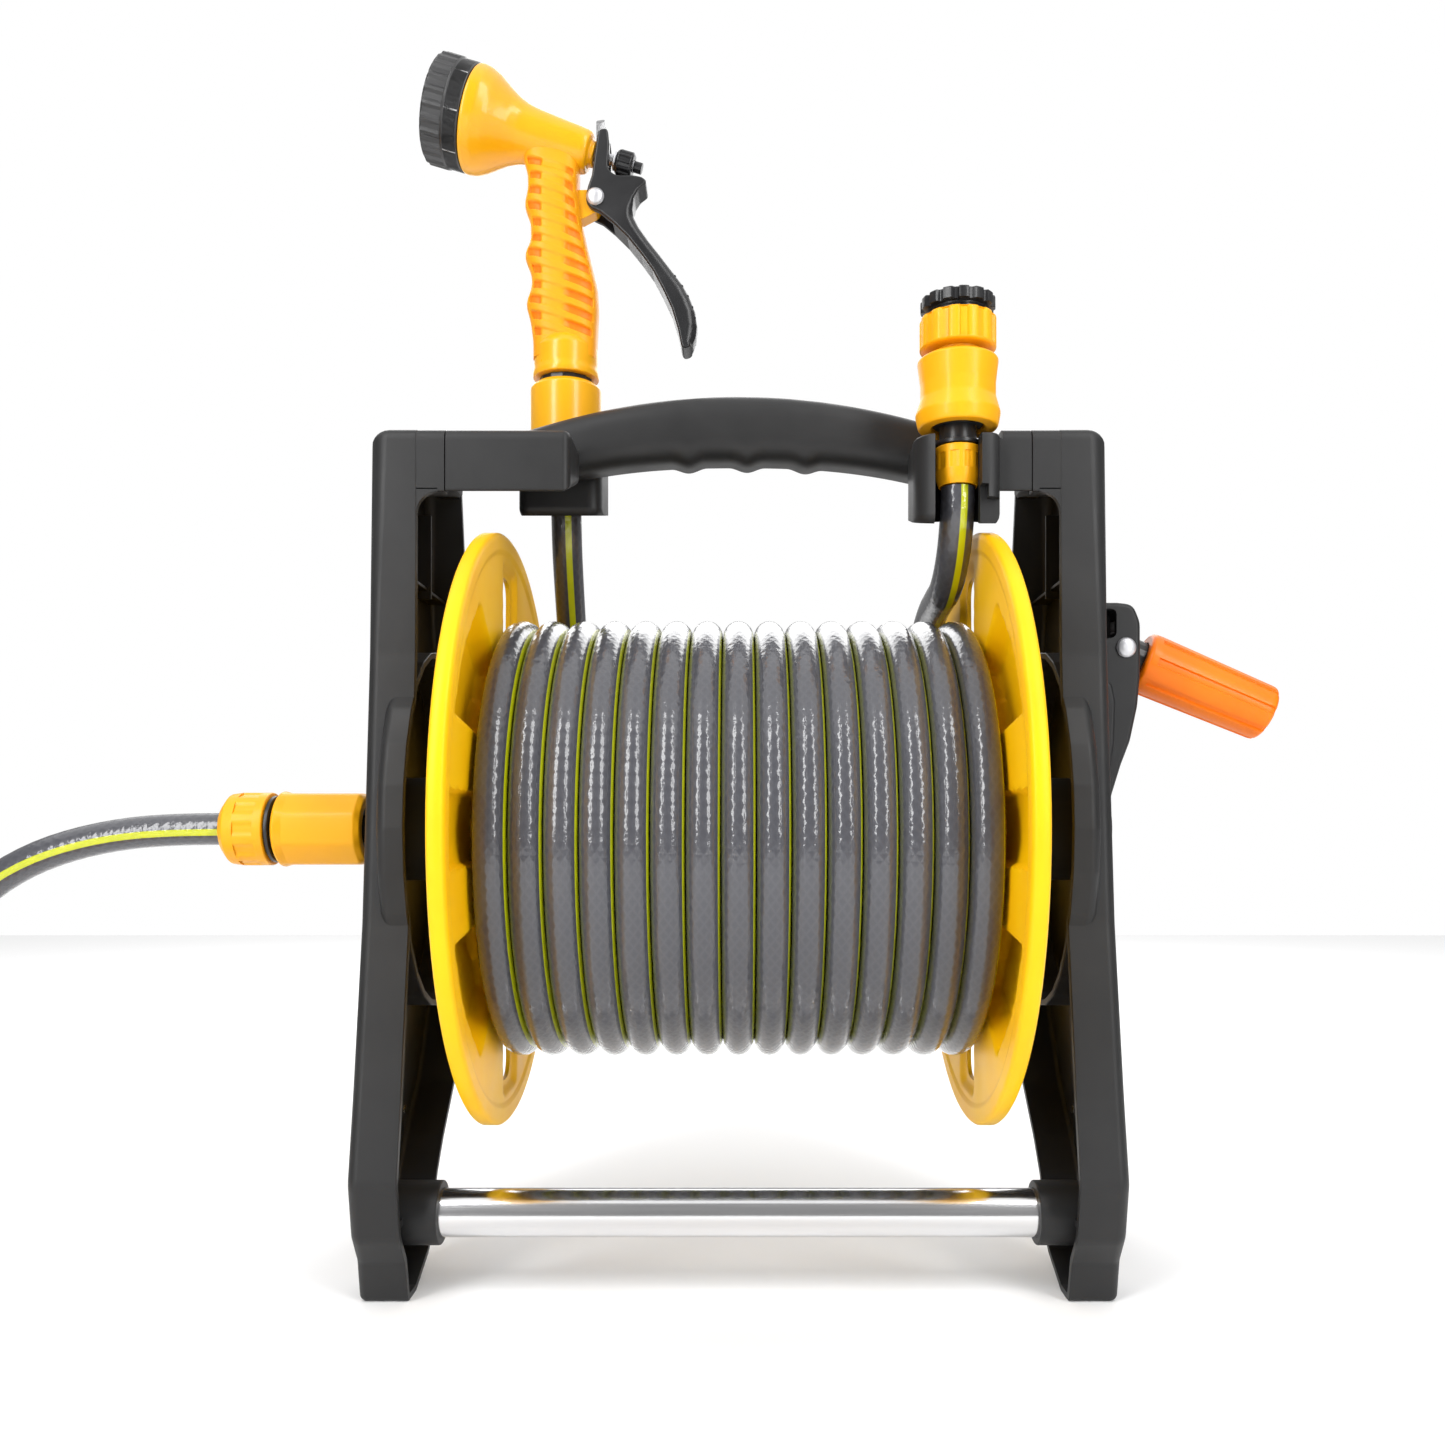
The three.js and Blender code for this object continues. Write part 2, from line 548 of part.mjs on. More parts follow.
function addConnectors() {
  addConnector('inlet', [-173, 0, 0], [-1, 0, 0], {
    sleeve: 41, neck: 3.5, nut: 22, nutRadius: 17, neckRadius: 15, bore: 7.3, look: YELLOW,
  });
  addConnector('tap_hose', [TAP_X, TAP_Y, 206], [0, 0, -1], {
    sleeve: 31, neck: 8.5, nut: 17, nutRadius: 10, neckRadius: 10, bore: 7.3, look: YELLOW,
  });
  addConnector('gun_hose', [GUN_X, GUN_Y, 221], [0, 0, -1], {
    sleeve: 36, neck: 4, nut: 14, nutRadius: 10, neckRadius: 10, bore: 7.3, look: GUN_YELLOW,
    sleeveEnd: 16.6,
  });
  addConnector('supply_end', SUPPLY_END, [-1, 0, 0], {
    sleeve: 41, neck: 3.5, nut: 22, nutRadius: 17, neckRadius: 15, bore: 7.3, look: YELLOW,
  });
}

// ---- tap adapter on the tap hose's connector --------------------------------------------------
function addTapAdapter() {
  const foot = [TAP_X, TAP_Y, 0];
  add('tap_adapter', turned([
    [192, 5], [192, 7], [206.3, 7], [206.3, 10], [209, 10], [209, 15.6], [210, 16.6],
    [222.5, 16.6], [223.5, 15.8], [223.5, 12.5], [212, 12.5], [212, 5], [192, 5],
  ], foot, [0, 0, 1], 20), YELLOW);
  add('tap_reducer', turned([
    [213, 9.5], [213, 12.2], [223.8, 12.2], [223.8, 13.4], [226.4, 13.4], [226.4, 16.2],
    [231.6, 16.2], [231.6, 9.5], [213, 9.5],
  ], foot, [0, 0, 1], 20), BLACK);
}

// ---- spray gun --------------------------------------------------------------------------------
const NOZZLE_FACE = [-150.3, GUN_Y, 359.6];
const BARREL = new THREE.Vector3(0.959, 0, -0.283).normalize(); // from the nozzle backwards
const TRIGGER_PIVOT = [-70.6, 311.7];

function alongBarrel(distance) {
  const point = new THREE.Vector3(...NOZZLE_FACE).addScaledVector(BARREL, distance);
  return point.toArray();
}

function barrelTurned(profile, segments = 20) {
  return turned(profile, NOZZLE_FACE, BARREL.toArray(), segments);
}

function barrelRod(radius, from, to, segments = 12) {
  return rod(radius, alongBarrel(from), alongBarrel(to), segments);
}

function addGun() {
  const bell = barrelTurned([
    [8, 0], [8, 5.4], [19.4, 5.4], [19.4, 25.2], [24, 24.4], [30, 21.8], [36, 18], [42, 14.9],
    [48, 13.3], [60, 12], [79.3, 10.3], [79.3, 0],
  ]);
  const handle = slabY(rounded([
    [-104, 345, 4], [-105.5, 306, 6], [-106.5, 284, 8], [-104, 262, 6], [-102.2, 236, 4],
    [-70.4, 236, 4], [-70, 264, 20], [-75.5, 288, 20], [-78.3, 304, 10], [-79.6, 335, 6],
  ], 4), GUN_Y - 12.5, GUN_Y + 12.5);
  const lug = join(
    slabY([[-82, 303], [-82, 321], [-70.6, 317.3], [-70.6, 306.1]], GUN_Y - 4.4, GUN_Y + 4.4),
    rod(5.6, [TRIGGER_PIVOT[0], GUN_Y - 4.4, TRIGGER_PIVOT[1]],
      [TRIGGER_PIVOT[0], GUN_Y + 4.4, TRIGGER_PIVOT[1]], 20),
  );
  const collar = rod(16, [GUN_X, GUN_Y, 223.8], [GUN_X, GUN_Y, 238.5], 20);
  const body = cut(
    join(bell, handle, lug, collar),
    barrelRod(3, 66, 81),
    rod(2.4, [TRIGGER_PIVOT[0], GUN_Y - 9, TRIGGER_PIVOT[1]],
      [TRIGGER_PIVOT[0], GUN_Y + 9, TRIGGER_PIVOT[1]], 16),
    rod(5, [GUN_X, GUN_Y, 223], [GUN_X, GUN_Y, 236], 16),
  );
  add('gun_body', body, GUN_YELLOW);
  add('gun_adapter', turned([
    [202, 4], [202, 7], [221.3, 7], [221.3, 13.2], [223.5, 13.2], [223.5, 4.7], [228, 4.7],
    [228, 4], [202, 4],
  ], [GUN_X, GUN_Y, 0], [0, 0, 1], 14), BLACK);
  add('nozzle_dial', barrelTurned([
    [0, 21], [0, 24.8], [0.8, 25.6], [11, 25.6], [11, 25], [19, 25], [19, 5.8], [8, 5.8],
    [8, 21], [0, 21],
  ], 24), BLACK);
  add('nozzle_face', barrelTurned([[3, 0], [3, 20.6], [7.6, 20.6], [7.6, 0]], 20), BLACK);
}

function addTrigger() {
  const contour = rounded([
    [-70.1, 343.9, 1], [-67.1, 346, 2], [-64.1, 343, 1], [-63.4, 331.4, 4],
    [-62.4, 325.5, 2], [-59.5, 322.3, 3],
    [-53.2, 321, 4], [-45.4, 323.2, 1], [-46, 319.4, 2], [-50.7, 314, 4], [-51.4, 306, 8],
    [-46.2, 291.5, 10], [-32.2, 275, 10], [-21.9, 256, 20], [-20.7, 242, 5],
    [-23.8, 237.6, 2], [-29.2, 239, 2], [-34.7, 257.6, 20], [-44.7, 276.6, 20],
    [-57.7, 293, 20], [-69.1, 303.5, 6], [-75.2, 308.5, 3], [-75.4, 314.5, 3], [-71, 326, 6],
  ], 3);
  const [x, z] = TRIGGER_PIVOT;
  const lever = cut(
    slabY(contour, GUN_Y - 8, GUN_Y + 8),
    box(-80, -62, GUN_Y - 4.8, GUN_Y + 4.8, 298, 329),
    box(-80, -55, GUN_Y - 4.2, GUN_Y + 4.2, 328, 350),
    rod(2.4, [x, GUN_Y - 9, z], [x, GUN_Y + 9, z], 16),
  );
  add('trigger', lever, BLACK);
  add('trigger_pin', turned([
    [-10.2, 0], [-9.8, 2.8], [-8.3, 4.4], [-8.3, 2.1], [8.3, 2.1], [8.3, 4.4], [9.8, 2.8],
    [10.2, 0],
  ], [x, GUN_Y, z], [0, 1, 0], 16), STEEL);
  add('valve_stem', barrelTurned([
    [68, 0], [68, 2.6], [92.2, 2.6], [92.2, 4.5], [93.2, 4.5], [93.2, 2.6], [106.5, 2.6],
    [106.5, 0],
  ], 16), STEEL);
  add('flow_knob', barrelTurned([
    [93.5, 2.9], [93.5, 5.4], [94.3, 6.1], [101, 6.1], [102, 5.2], [102, 2.9], [93.5, 2.9],
  ], 20), BLACK);
  add('trigger_latch', slabY(rounded([
    [-70.6, 341], [-69.4, 341], [-69.4, 350], [-66.4, 351.2], [-66.4, 352.2], [-70.6, 351.6],
  ], 0.5, 1), GUN_Y - 3.4, GUN_Y + 3.4), STEEL);
}

// ---- hoses ------------------------------------------------------------------------------------
const GUN_HOSE = [
  [-86, 38, 166.6], [-86, 38.1, 162], [-86, 39.1, 154.5], [-86.1, 42.2, 142.8], [-86.3, 48, 130.6],
  [-86.7, 63, 105.9], [-87, 78, 81], [-87.3, 93.1, 56], [-87.6, 104.9, 28.1],
  [-87.8, 108.6, 0], [-88, 107.6, -15],
];
const TAP_HOSE = [
  [96, -38, 149.1], [96, -37.9, 146], [96, -37.2, 141], [95.9, -34.5, 132.5], [95.8, -28.4, 122.8],
  [95.6, -18.7, 114.6], [95.4, -7.6, 110], [95.2, 5, 108.5], [95, 28.1, 104.9],
  [94.8, 54.3, 94.1], [94.6, 76.8, 76.8], [94.4, 94.1, 54.3], [94.2, 104.9, 28.1],
  [94, 108.6, 0],
];
const SUPPLY_DROP = [
  [-239.8, 0, 0], [-262, 0, -0.4], [-284, 0, -2], [-306, 0, -6], [-327, 0, -12.8],
  [-346.5, 1, -23], [-363.5, 2, -37], [-377, 4, -54], [-386.5, 7, -73], [-394.5, 10, -92],
  [-404.5, 13, -110], [-418.5, 16, -126], [-436.5, 18.5, -138.5], [-457, 20, -147.5],
  [-480, 20, -153.5],
];
const SUPPLY_TAIL = [
  [-480, -144, -192.3], [-458, -144, -192], [-438, -144, -188.8], [-421, -144, -184.2],
  [-407, -144, -182.3], [-395.2, -144, -182.3],
];
const SUPPLY_END = [-328.2, -144, -182.3];
const COIL_CENTRE = [-480, -62];
const COIL_RADIUS = 82;
const COIL_BOTTOM = -HUB_HEIGHT + 0.2;
const COIL_TOP = -147.2;

function coilRing(grown) {
  const [x, y] = COIL_CENTRE;
  const half = HOSE_RADIUS + 0.2 + grown;
  return ring(
    COIL_RADIUS - half, COIL_RADIUS + half,
    [x, y, COIL_BOTTOM - 4 * grown], [x, y, COIL_TOP + grown], 32,
  );
}

function addHoses() {
  add('hose_gun_end', tube(GUN_HOSE, 14), HOSE_GREY);
  add('hose_tap_end', tube(TAP_HOSE, 18), HOSE_GREY);
  add('supply_hose_drop', cut(tube(SUPPLY_DROP, 18), coilRing(GAP)), HOSE_GREY);
  add('supply_hose_coil', coilRing(0), HOSE_GREY);
  add('supply_hose_tail', cut(tube(SUPPLY_TAIL, 6), coilRing(GAP)), HOSE_GREY);
}

addFrames();
addHandle();
addInlet();
addDrum();
addCrank();
addConnectors();
addTapAdapter();
addGun();
addTrigger();
addHoses();

// ---- place the reel: feet on Z = 0, centred on the rigid pieces ---------------------------------
const HOSE_PIECES = ['hose_', 'supply_', 'tap_hose_', 'gun_hose_', 'inlet_release', 'inlet_body',
  'inlet_hose'];
const rigid = new THREE.Box3();
reel.children.filter((mesh) => !HOSE_PIECES.some((start) => mesh.name.startsWith(start)))
  .forEach((mesh) => rigid.expandByObject(mesh));
const middle = rigid.getCenter(new THREE.Vector3());
reel.position.set(-middle.x, -middle.y, -rigid.min.z);

export default reel;
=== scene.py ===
import json
import math

import bmesh
import bpy
import numpy as np
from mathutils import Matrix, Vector


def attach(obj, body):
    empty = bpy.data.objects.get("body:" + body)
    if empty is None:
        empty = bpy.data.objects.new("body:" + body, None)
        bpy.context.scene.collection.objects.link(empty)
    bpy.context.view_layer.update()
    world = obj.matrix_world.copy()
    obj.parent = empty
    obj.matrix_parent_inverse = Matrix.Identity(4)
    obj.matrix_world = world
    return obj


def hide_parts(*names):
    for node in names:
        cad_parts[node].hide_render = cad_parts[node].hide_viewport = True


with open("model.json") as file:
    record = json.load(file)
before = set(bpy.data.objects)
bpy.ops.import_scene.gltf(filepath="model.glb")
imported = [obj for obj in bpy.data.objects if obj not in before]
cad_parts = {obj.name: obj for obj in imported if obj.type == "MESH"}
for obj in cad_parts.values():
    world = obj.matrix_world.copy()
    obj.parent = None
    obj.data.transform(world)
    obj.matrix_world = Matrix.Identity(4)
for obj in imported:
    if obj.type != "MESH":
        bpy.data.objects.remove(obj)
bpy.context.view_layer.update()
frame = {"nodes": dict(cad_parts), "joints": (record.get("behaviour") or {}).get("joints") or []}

MM = 0.001
RIGHT, REAR, UP = (1, 0, 0), (0, 1, 0), (0, 0, 1)
JOINTS = {joint["name"]: joint for joint in frame["joints"]}
HUB = np.array(JOINTS["drum_spin"]["pos_m"])

HOSE_RADIUS = 7.5
FLANGE_INNER_X = 106
FRAME_INNER_X = 139.5
FRAME_OUTER_X = 160.6
JOINT_X = 127.2
TUBE_Y, TUBE_Z, TUBE_RADIUS = -47, -165, 10.2
GUN_X, GUN_Y = -86, 38
TAP_X, TAP_Y = 96, -38
PIN_X, PIN_Z = 175.7, 82.3


def place(points):
    """Millimetres from the drum's axis as metres in the frame."""
    return np.asarray(points, float) * MM + HUB


def joint_frame(name):
    """A joint's origin in millimetres from the drum's axis, and its direction."""
    joint = JOINTS[name]
    return (np.array(joint["pos_m"]) - HUB) / MM, np.array(joint["axis"], float)


def unit(vectors):
    """The same vectors with a length of 1; the last axis holds their coordinates."""
    return vectors / np.linalg.norm(vectors, axis=-1, keepdims=True)


def circle(count):
    """Angles evenly round a turn."""
    return 2 * math.pi * np.arange(count) / count


def ease(t):
    """A soft step from 0 to 1."""
    t = np.clip(t, 0, 1)
    return t * t * (3 - 2 * t)


# ---- camera, light and floor --------------------------------------------------------------
CAMERA_DISTANCE = 0.58
PICTURE = 1445
LENS = 30.84
AXIS_FROM_CENTRE = (16, 106.5)  # where the level camera's axis meets the picture
DOME_STRENGTH = 0.3
STRIP_SIZE = (0.3, 1.6)
STRIP_TARGET = (HUB[0], 0, 0.5)
FLOOR_HALF = 1.75


def make_camera():
    data = bpy.data.cameras.new("camera")
    camera = bpy.data.objects.new("camera", data)
    bpy.context.scene.collection.objects.link(camera)
    camera.location = (HUB[0], -CAMERA_DISTANCE, HUB[2])
    camera.rotation_euler = (math.pi / 2, 0, 0)
    data.lens = LENS
    data.sensor_width = 36
    data.shift_x = -AXIS_FROM_CENTRE[0] / PICTURE
    data.shift_y = AXIS_FROM_CENTRE[1] / PICTURE
    data.clip_start, data.clip_end = 0.05, 50
    bpy.context.scene.camera = camera


def area_light(name, location, target, size, power):
    data = bpy.data.lights.new(name, "AREA")
    data.shape = "RECTANGLE"
    data.size, data.size_y = size
    data.energy = power
    lamp = bpy.data.objects.new(name, data)
    bpy.context.scene.collection.objects.link(lamp)
    lamp.location = location
    aim = Vector(target) - Vector(location)
    lamp.rotation_euler = aim.to_track_quat("-Z", "Y").to_euler()


def make_studio():
    """A dim dome that the camera sees as pure white, a ceiling, a rear light and two strips."""
    scene = bpy.context.scene
    scene.view_settings.view_transform = "Standard"
    world = bpy.data.worlds.new("studio")
    world.use_nodes = True
    scene.world = world
    tree = world.node_tree
    dome, backdrop = tree.nodes["Background"], tree.nodes.new("ShaderNodeBackground")
    for node, strength in ((dome, DOME_STRENGTH), (backdrop, 1.0)):
        node.inputs["Color"].default_value = (1, 1, 1, 1)
        node.inputs["Strength"].default_value = strength
    path = tree.nodes.new("ShaderNodeLightPath")
    mix = tree.nodes.new("ShaderNodeMixShader")
    sources = (path.outputs["Is Camera Ray"], dome.outputs[0], backdrop.outputs[0])
    for index, source in enumerate(sources):
        tree.links.new(source, mix.inputs[index])
    tree.links.new(mix.outputs[0], tree.nodes["World Output"].inputs["Surface"])
    area_light("ceiling", (0.0, 3.0, 5.0), (0.0, 3.0, 0.0), (12, 12), 400)
    area_light("top", (HUB[0], 1.15, 1.1), (HUB[0], 0, HUB[2]), (1.6, 0.9), 10)
    area_light("left_strip", (-0.78, -1.0, 0.98), STRIP_TARGET, STRIP_SIZE, 17)
    area_light("right_strip", (0.74, -0.98, 0.98), STRIP_TARGET, STRIP_SIZE, 14)


def make_floor():
    corners = [(-1, -1, 0), (1, -1, 0), (1, 1, 0), (-1, 1, 0)]
    mesh = bpy.data.meshes.new("floor")
    mesh.from_pydata([[FLOOR_HALF * c for c in corner] for corner in corners], [], [(0, 1, 2, 3)])
    paper = Look("floor_paper", Base_Color=(0.93, 0.93, 0.93, 1), Roughness=1.0,
                 Specular_IOR_Level=0.0)
    mesh.materials.append(paper.material)
    floor = bpy.data.objects.new("floor", mesh)
    bpy.context.scene.collection.objects.link(floor)


# ---- materials ----------------------------------------------------------------------------
class Look:
    """A node material around one Principled shader, with short ways to add nodes."""

    def __init__(self, name, **sockets):
        self.material = bpy.data.materials.new(name)
        self.material.use_nodes = True
        self.tree = self.material.node_tree
        self.shader = self.tree.nodes["Principled BSDF"]
        for socket, value in sockets.items():
            self.shader.inputs[socket.replace("_", " ")].default_value = value

    def node(self, kind, links=(), **settings):
        made = self.tree.nodes.new("ShaderNode" + kind)
        for key, value in settings.items():
            setattr(made, key, value)
        for key, value in dict(links).items():
            if isinstance(value, bpy.types.NodeSocket):
                self.tree.links.new(value, made.inputs[key])
            else:
                made.inputs[key].default_value = value
        return made

    def math(self, operation, *values):
        return self.node("Math", dict(enumerate(values)), operation=operation).outputs[0]

    def position(self):
        return self.node("TexCoord").outputs["Object"]

    def noise(self, scale, detail=2.0, roughness=0.5, vector=None):
        links = {"Vector": vector or self.position(), "Scale": scale, "Detail": detail,
                 "Roughness": roughness}
        return self.node("TexNoise", links).outputs["Fac"]

    def span(self, value, low, high, to_low, to_high):
        links = {"Value": value, "From Min": low, "From Max": high, "To Min": to_low,
                 "To Max": to_high}
        return self.node("MapRange", links, clamp=True).outputs["Result"]

    def mix(self, factor, *colours):
        """A mix of two colours. Inputs 6 and 7 are the Mix node's colour sockets."""
        links = {0: factor}
        for index, colour in zip((6, 7), colours):
            links[index] = colour if isinstance(colour, bpy.types.NodeSocket) else (*colour, 1)
        return self.node("Mix", links, data_type="RGBA").outputs[2]

    def bump(self, height, distance, strength=1.0, under=None):
        links = {"Height": height, "Distance": distance, "Strength": strength}
        if under is not None:
            links["Normal"] = under
        return self.node("Bump", links).outputs["Normal"]

    def attribute(self, name):
        return self.node("Attribute", attribute_name=name).outputs["Fac"]

    def wire(self, socket, value):
        self.tree.links.new(value, self.shader.inputs[socket])

    def paint(self, factor, colour):
        """Lays a second colour over the base colour where factor is 1."""
        under = self.shader.inputs["Base Color"].links[0].from_socket
        self.wire("Base Color", self.mix(factor, under, colour))


def plastic(name, dark, light, roughness, grain=0.00004, coat=0.0, shine=0.5):
    """Injection-moulded plastic: faint flow marks in the colour, and a fine sparked grain."""
    look = Look(name, Coat_Weight=coat, Coat_Roughness=0.12, Specular_IOR_Level=shine)
    flow = look.noise(22, 3)
    look.wire("Base Color", look.mix(look.span(flow, 0.3, 0.7, 0, 1), dark, light))
    patch = look.noise(60, 3)
    look.wire("Roughness", look.span(patch, 0.25, 0.75, roughness - 0.05, roughness + 0.06))
    fine = look.noise(2600, 2)
    wave = look.noise(34, 1)
    under = look.bump(wave, 0.0006, 0.5)
    look.wire("Normal", look.bump(fine, grain, 1.0, under))
    return look


def metal(name, colour, roughness, brushed):
    """Bare steel: long faint brush lines, or a polish with very shallow waves."""
    look = Look(name, Metallic=1.0)
    stretched = look.node("Mapping", {"Vector": look.position(), "Scale": (4, 900, 900)})
    lines = look.noise(6, 2, 0.5, stretched.outputs[0])
    look.wire("Base Color", look.mix(lines, [0.9 * c for c in colour], colour))
    look.wire("Roughness", look.span(lines, 0.3, 0.7, roughness * 0.8, roughness * 1.25))
    look.wire("Normal", look.bump(lines, 0.00002 if brushed else 0.000004))
    return look


STRIPE_HALF = 0.033  # half the stripe's width as a share of the hose's girth
BRAID_PITCH = 0.0052
BRAID_FIBRES = 11.0


def hose_look(name):
    """Clear-skinned grey PVC over a braid, with a yellow-green stripe along one side."""
    look = Look(name, Specular_IOR_Level=0.3, Coat_Weight=1.0, Coat_Roughness=0.06)
    along, around = look.attribute("along"), look.attribute("around")
    lean = look.math("MULTIPLY", along, 1 / BRAID_PITCH)
    fibre = []
    for turn in (BRAID_FIBRES, -BRAID_FIBRES):
        phase = look.math("ADD", lean, look.math("MULTIPLY", around, turn))
        wave = look.math("PINGPONG", phase, 0.5)
        fibre.append(look.span(wave, 0.0, 0.5, 0.0, 1.0))
    braid = look.math("MAXIMUM", *fibre)
    grit = look.noise(1100, 2)
    dents = look.noise(260, 2)
    weights = ((braid, 0.55), (grit, 0.35), (dents, 1.3))
    braid_part, grit_part, dent_part = [look.math("MULTIPLY", *pair) for pair in weights]
    height = look.math("ADD", look.math("ADD", braid_part, grit_part), dent_part)
    shade = look.math("MULTIPLY", look.span(braid, 0.4, 1, 0, 1), 0.5)
    grey = look.mix(shade, (0.054, 0.055, 0.065), (0.073, 0.074, 0.085))
    aside = look.math("ABSOLUTE", look.math("SUBTRACT", around, 0.5))
    inside = look.span(aside, STRIPE_HALF - 0.003, STRIPE_HALF + 0.003, 1, 0)
    lime = look.mix(look.noise(140, 2), (0.42, 0.47, 0.0), (0.60, 0.62, 0.004))
    look.wire("Base Color", look.mix(inside, grey, lime))
    look.wire("Roughness", look.span(grit, 0.3, 0.7, 0.3, 0.45))
    look.wire("Normal", look.bump(height, 0.00022, 0.5))
    look.wire("Coat Normal", look.bump(height, 0.00024, 0.6))
    return look


def gun_grip_look(name, plain, deep):
    """The gun's yellow, turning orange down in the grip's slots."""
    look = plastic(name, [0.94 * c for c in plain], plain, 0.4, shine=0.25)
    look.paint(look.span(look.attribute("recess"), 0.25, 0.95, 0, 1), deep)
    return look


def printed_look(name):
    """Black plastic with fine printed tick marks around the dial's smooth band."""
    look = plastic(name, (0.014, 0.014, 0.015), (0.022, 0.022, 0.023), 0.34, coat=0.2)
    look.paint(look.span(look.attribute("mark"), 0.45, 0.55, 0, 1), (0.75, 0.75, 0.75))
    return look


BLACK = plastic("black_moulding", (0.012, 0.012, 0.0125), (0.017, 0.017, 0.0175), 0.46,
                grain=0.00003, shine=0.36)
BLACK_SMOOTH = plastic("black_smooth", (0.008, 0.008, 0.009), (0.012, 0.012, 0.013), 0.33,
                       grain=0.00002)
YELLOW = plastic("drum_yellow", (0.98, 0.50, 0.0), (1.0, 0.57, 0.0), 0.46, grain=0.00003,
                 shine=0.28)
CONNECTOR = plastic("connector_yellow", (0.88, 0.38, 0.001), (0.93, 0.43, 0.002), 0.42,
                    grain=0.00003, coat=0.08, shine=0.3)
GUN_YELLOW = plastic("gun_yellow", (0.78, 0.35, 0.002), (0.84, 0.40, 0.004), 0.32,
                     grain=0.00002, coat=0.3, shine=0.3)
GUN_GRIP = gun_grip_look("gun_grip", (0.86, 0.34, 0.006), (0.86, 0.20, 0.005))
ORANGE = plastic("grip_orange", (0.80, 0.155, 0.0), (0.87, 0.195, 0.0), 0.4,
                 grain=0.00002, coat=0.12, shine=0.25)
HOSE = hose_look("hose_grey")
STEEL = metal("bright_steel", (0.78, 0.78, 0.79), 0.24, True)
RIVET = metal("rivet_silver", (0.66, 0.66, 0.68), 0.5, False)
CHROME = metal("polished_chrome", (0.8, 0.8, 0.81), 0.17, False)
RUBBER = plastic("seal_rubber", (0.012, 0.012, 0.012), (0.018, 0.018, 0.018), 0.7)
NYLON = plastic("white_nylon", (0.55, 0.54, 0.5), (0.62, 0.61, 0.57), 0.5)
PRINTED = printed_look("dial_print")


def loose_mesh(name, points, faces, look, attributes=()):
    """A mesh object from millimetres, with its faces turned outwards."""
    mesh = bpy.data.meshes.new(name)
    mesh.from_pydata(place(points).tolist(), [], faces)
    work = bmesh.new()
    work.from_mesh(mesh)
    bmesh.ops.recalc_face_normals(work, faces=work.faces)
    work.to_mesh(mesh)
    work.free()
    for key, values in dict(attributes).items():
        mesh.attributes.new(key, "FLOAT", "POINT").data.foreach_set("value", values)
    mesh.materials.append(look.material)
    made = bpy.data.objects.new(name, mesh)
    bpy.context.scene.collection.objects.link(made)
    return made


def finish_piece(made, body, nodes, crease=32, weighted=True):
    """Shades the piece, lets it ride on its body and hides its CAD nodes."""
    mesh = made.data
    mesh.polygons.foreach_set("use_smooth", [True] * len(mesh.polygons))
    mesh.set_sharp_from_angle(angle=math.radians(crease))
    if weighted:
        normals = made.modifiers.new("normals", "WEIGHTED_NORMAL")
        normals.keep_sharp = True
    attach(made, body)
    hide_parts(*nodes)
    dict.fromkeys(nodes, made)


def combine(base, how, *others):
    """Adds, cuts or intersects solids, and removes the ones that were used up."""
    for other in others:
        step = base.modifiers.new("combine", "BOOLEAN")
        step.operation, step.object, step.solver = how, other, "EXACT"
        graph = bpy.context.evaluated_depsgraph_get()
        merged = bpy.data.meshes.new_from_object(base.evaluated_get(graph))
        base.modifiers.clear()
        base.data = merged
        bpy.data.objects.remove(other)
    return base


def mirrored(made, name):
    """A copy on the other side of the reel's middle plane."""
    twin = bpy.data.objects.new(name, made.data.copy())
    bpy.context.scene.collection.objects.link(twin)
    work = bmesh.new()
    work.from_mesh(twin.data)
    for vertex in work.verts:
        vertex.co.x = 2 * HUB[0] - vertex.co.x
    bmesh.ops.reverse_faces(work, faces=work.faces)
    work.to_mesh(twin.data)
    work.free()
    return twin


def skin(loops, closed_ends=(True, True)):
    """Points and faces of a surface through loops of equal length."""
    count = len(loops[0])
    points = np.concatenate([np.asarray(loop, float) for loop in loops])
    faces = []
    for row in range(len(loops) - 1):
        for i in range(count):
            j = (i + 1) % count
            faces.append((row * count + i, row * count + j,
                          (row + 1) * count + j, (row + 1) * count + i))
    if closed_ends[0]:
        faces.append(tuple(range(count)))
    if closed_ends[1]:
        faces.append(tuple((len(loops) - 1) * count + i for i in reversed(range(count))))
    return points, faces


LEAST_RADIUS = 0.15
SHARPEST_LEAN = 0.35  # keeps the tip of a very sharp corner from running away


def inset_corners(corners, inset):
    """The corners' points and radii with the sides moved inwards, by one distance or one each."""
    points = np.array([c[:2] for c in corners], float)
    following = np.roll(points, -1, 0)
    before, after = unit(points - np.roll(points, 1, 0)), unit(following - points)
    turn = np.sign(np.sum(points[:, 0] * following[:, 1] - points[:, 1] * following[:, 0]))
    bend = turn * (before[:, 0] * after[:, 1] - before[:, 1] * after[:, 0])
    inward = unit(turn * np.stack([-before[:, 1] - after[:, 1], before[:, 0] + after[:, 0]], 1))
    side = turn * np.stack([-before[:, 1], before[:, 0]], 1)
    lean = np.maximum(np.sum(inward * side, 1), SHARPEST_LEAN)
    radii = np.array([c[2] for c in corners]) + np.where(bend > 0, -inset, inset)
    return points + inward * (inset / lean)[:, None], radii


def rounded(start, corner, end, steps):
    """Points along the curve that rounds a corner."""
    return [(1 - t) ** 2 * start + 2 * t * (1 - t) * corner + t ** 2 * end
            for t in np.linspace(0, 1, steps + 1)]


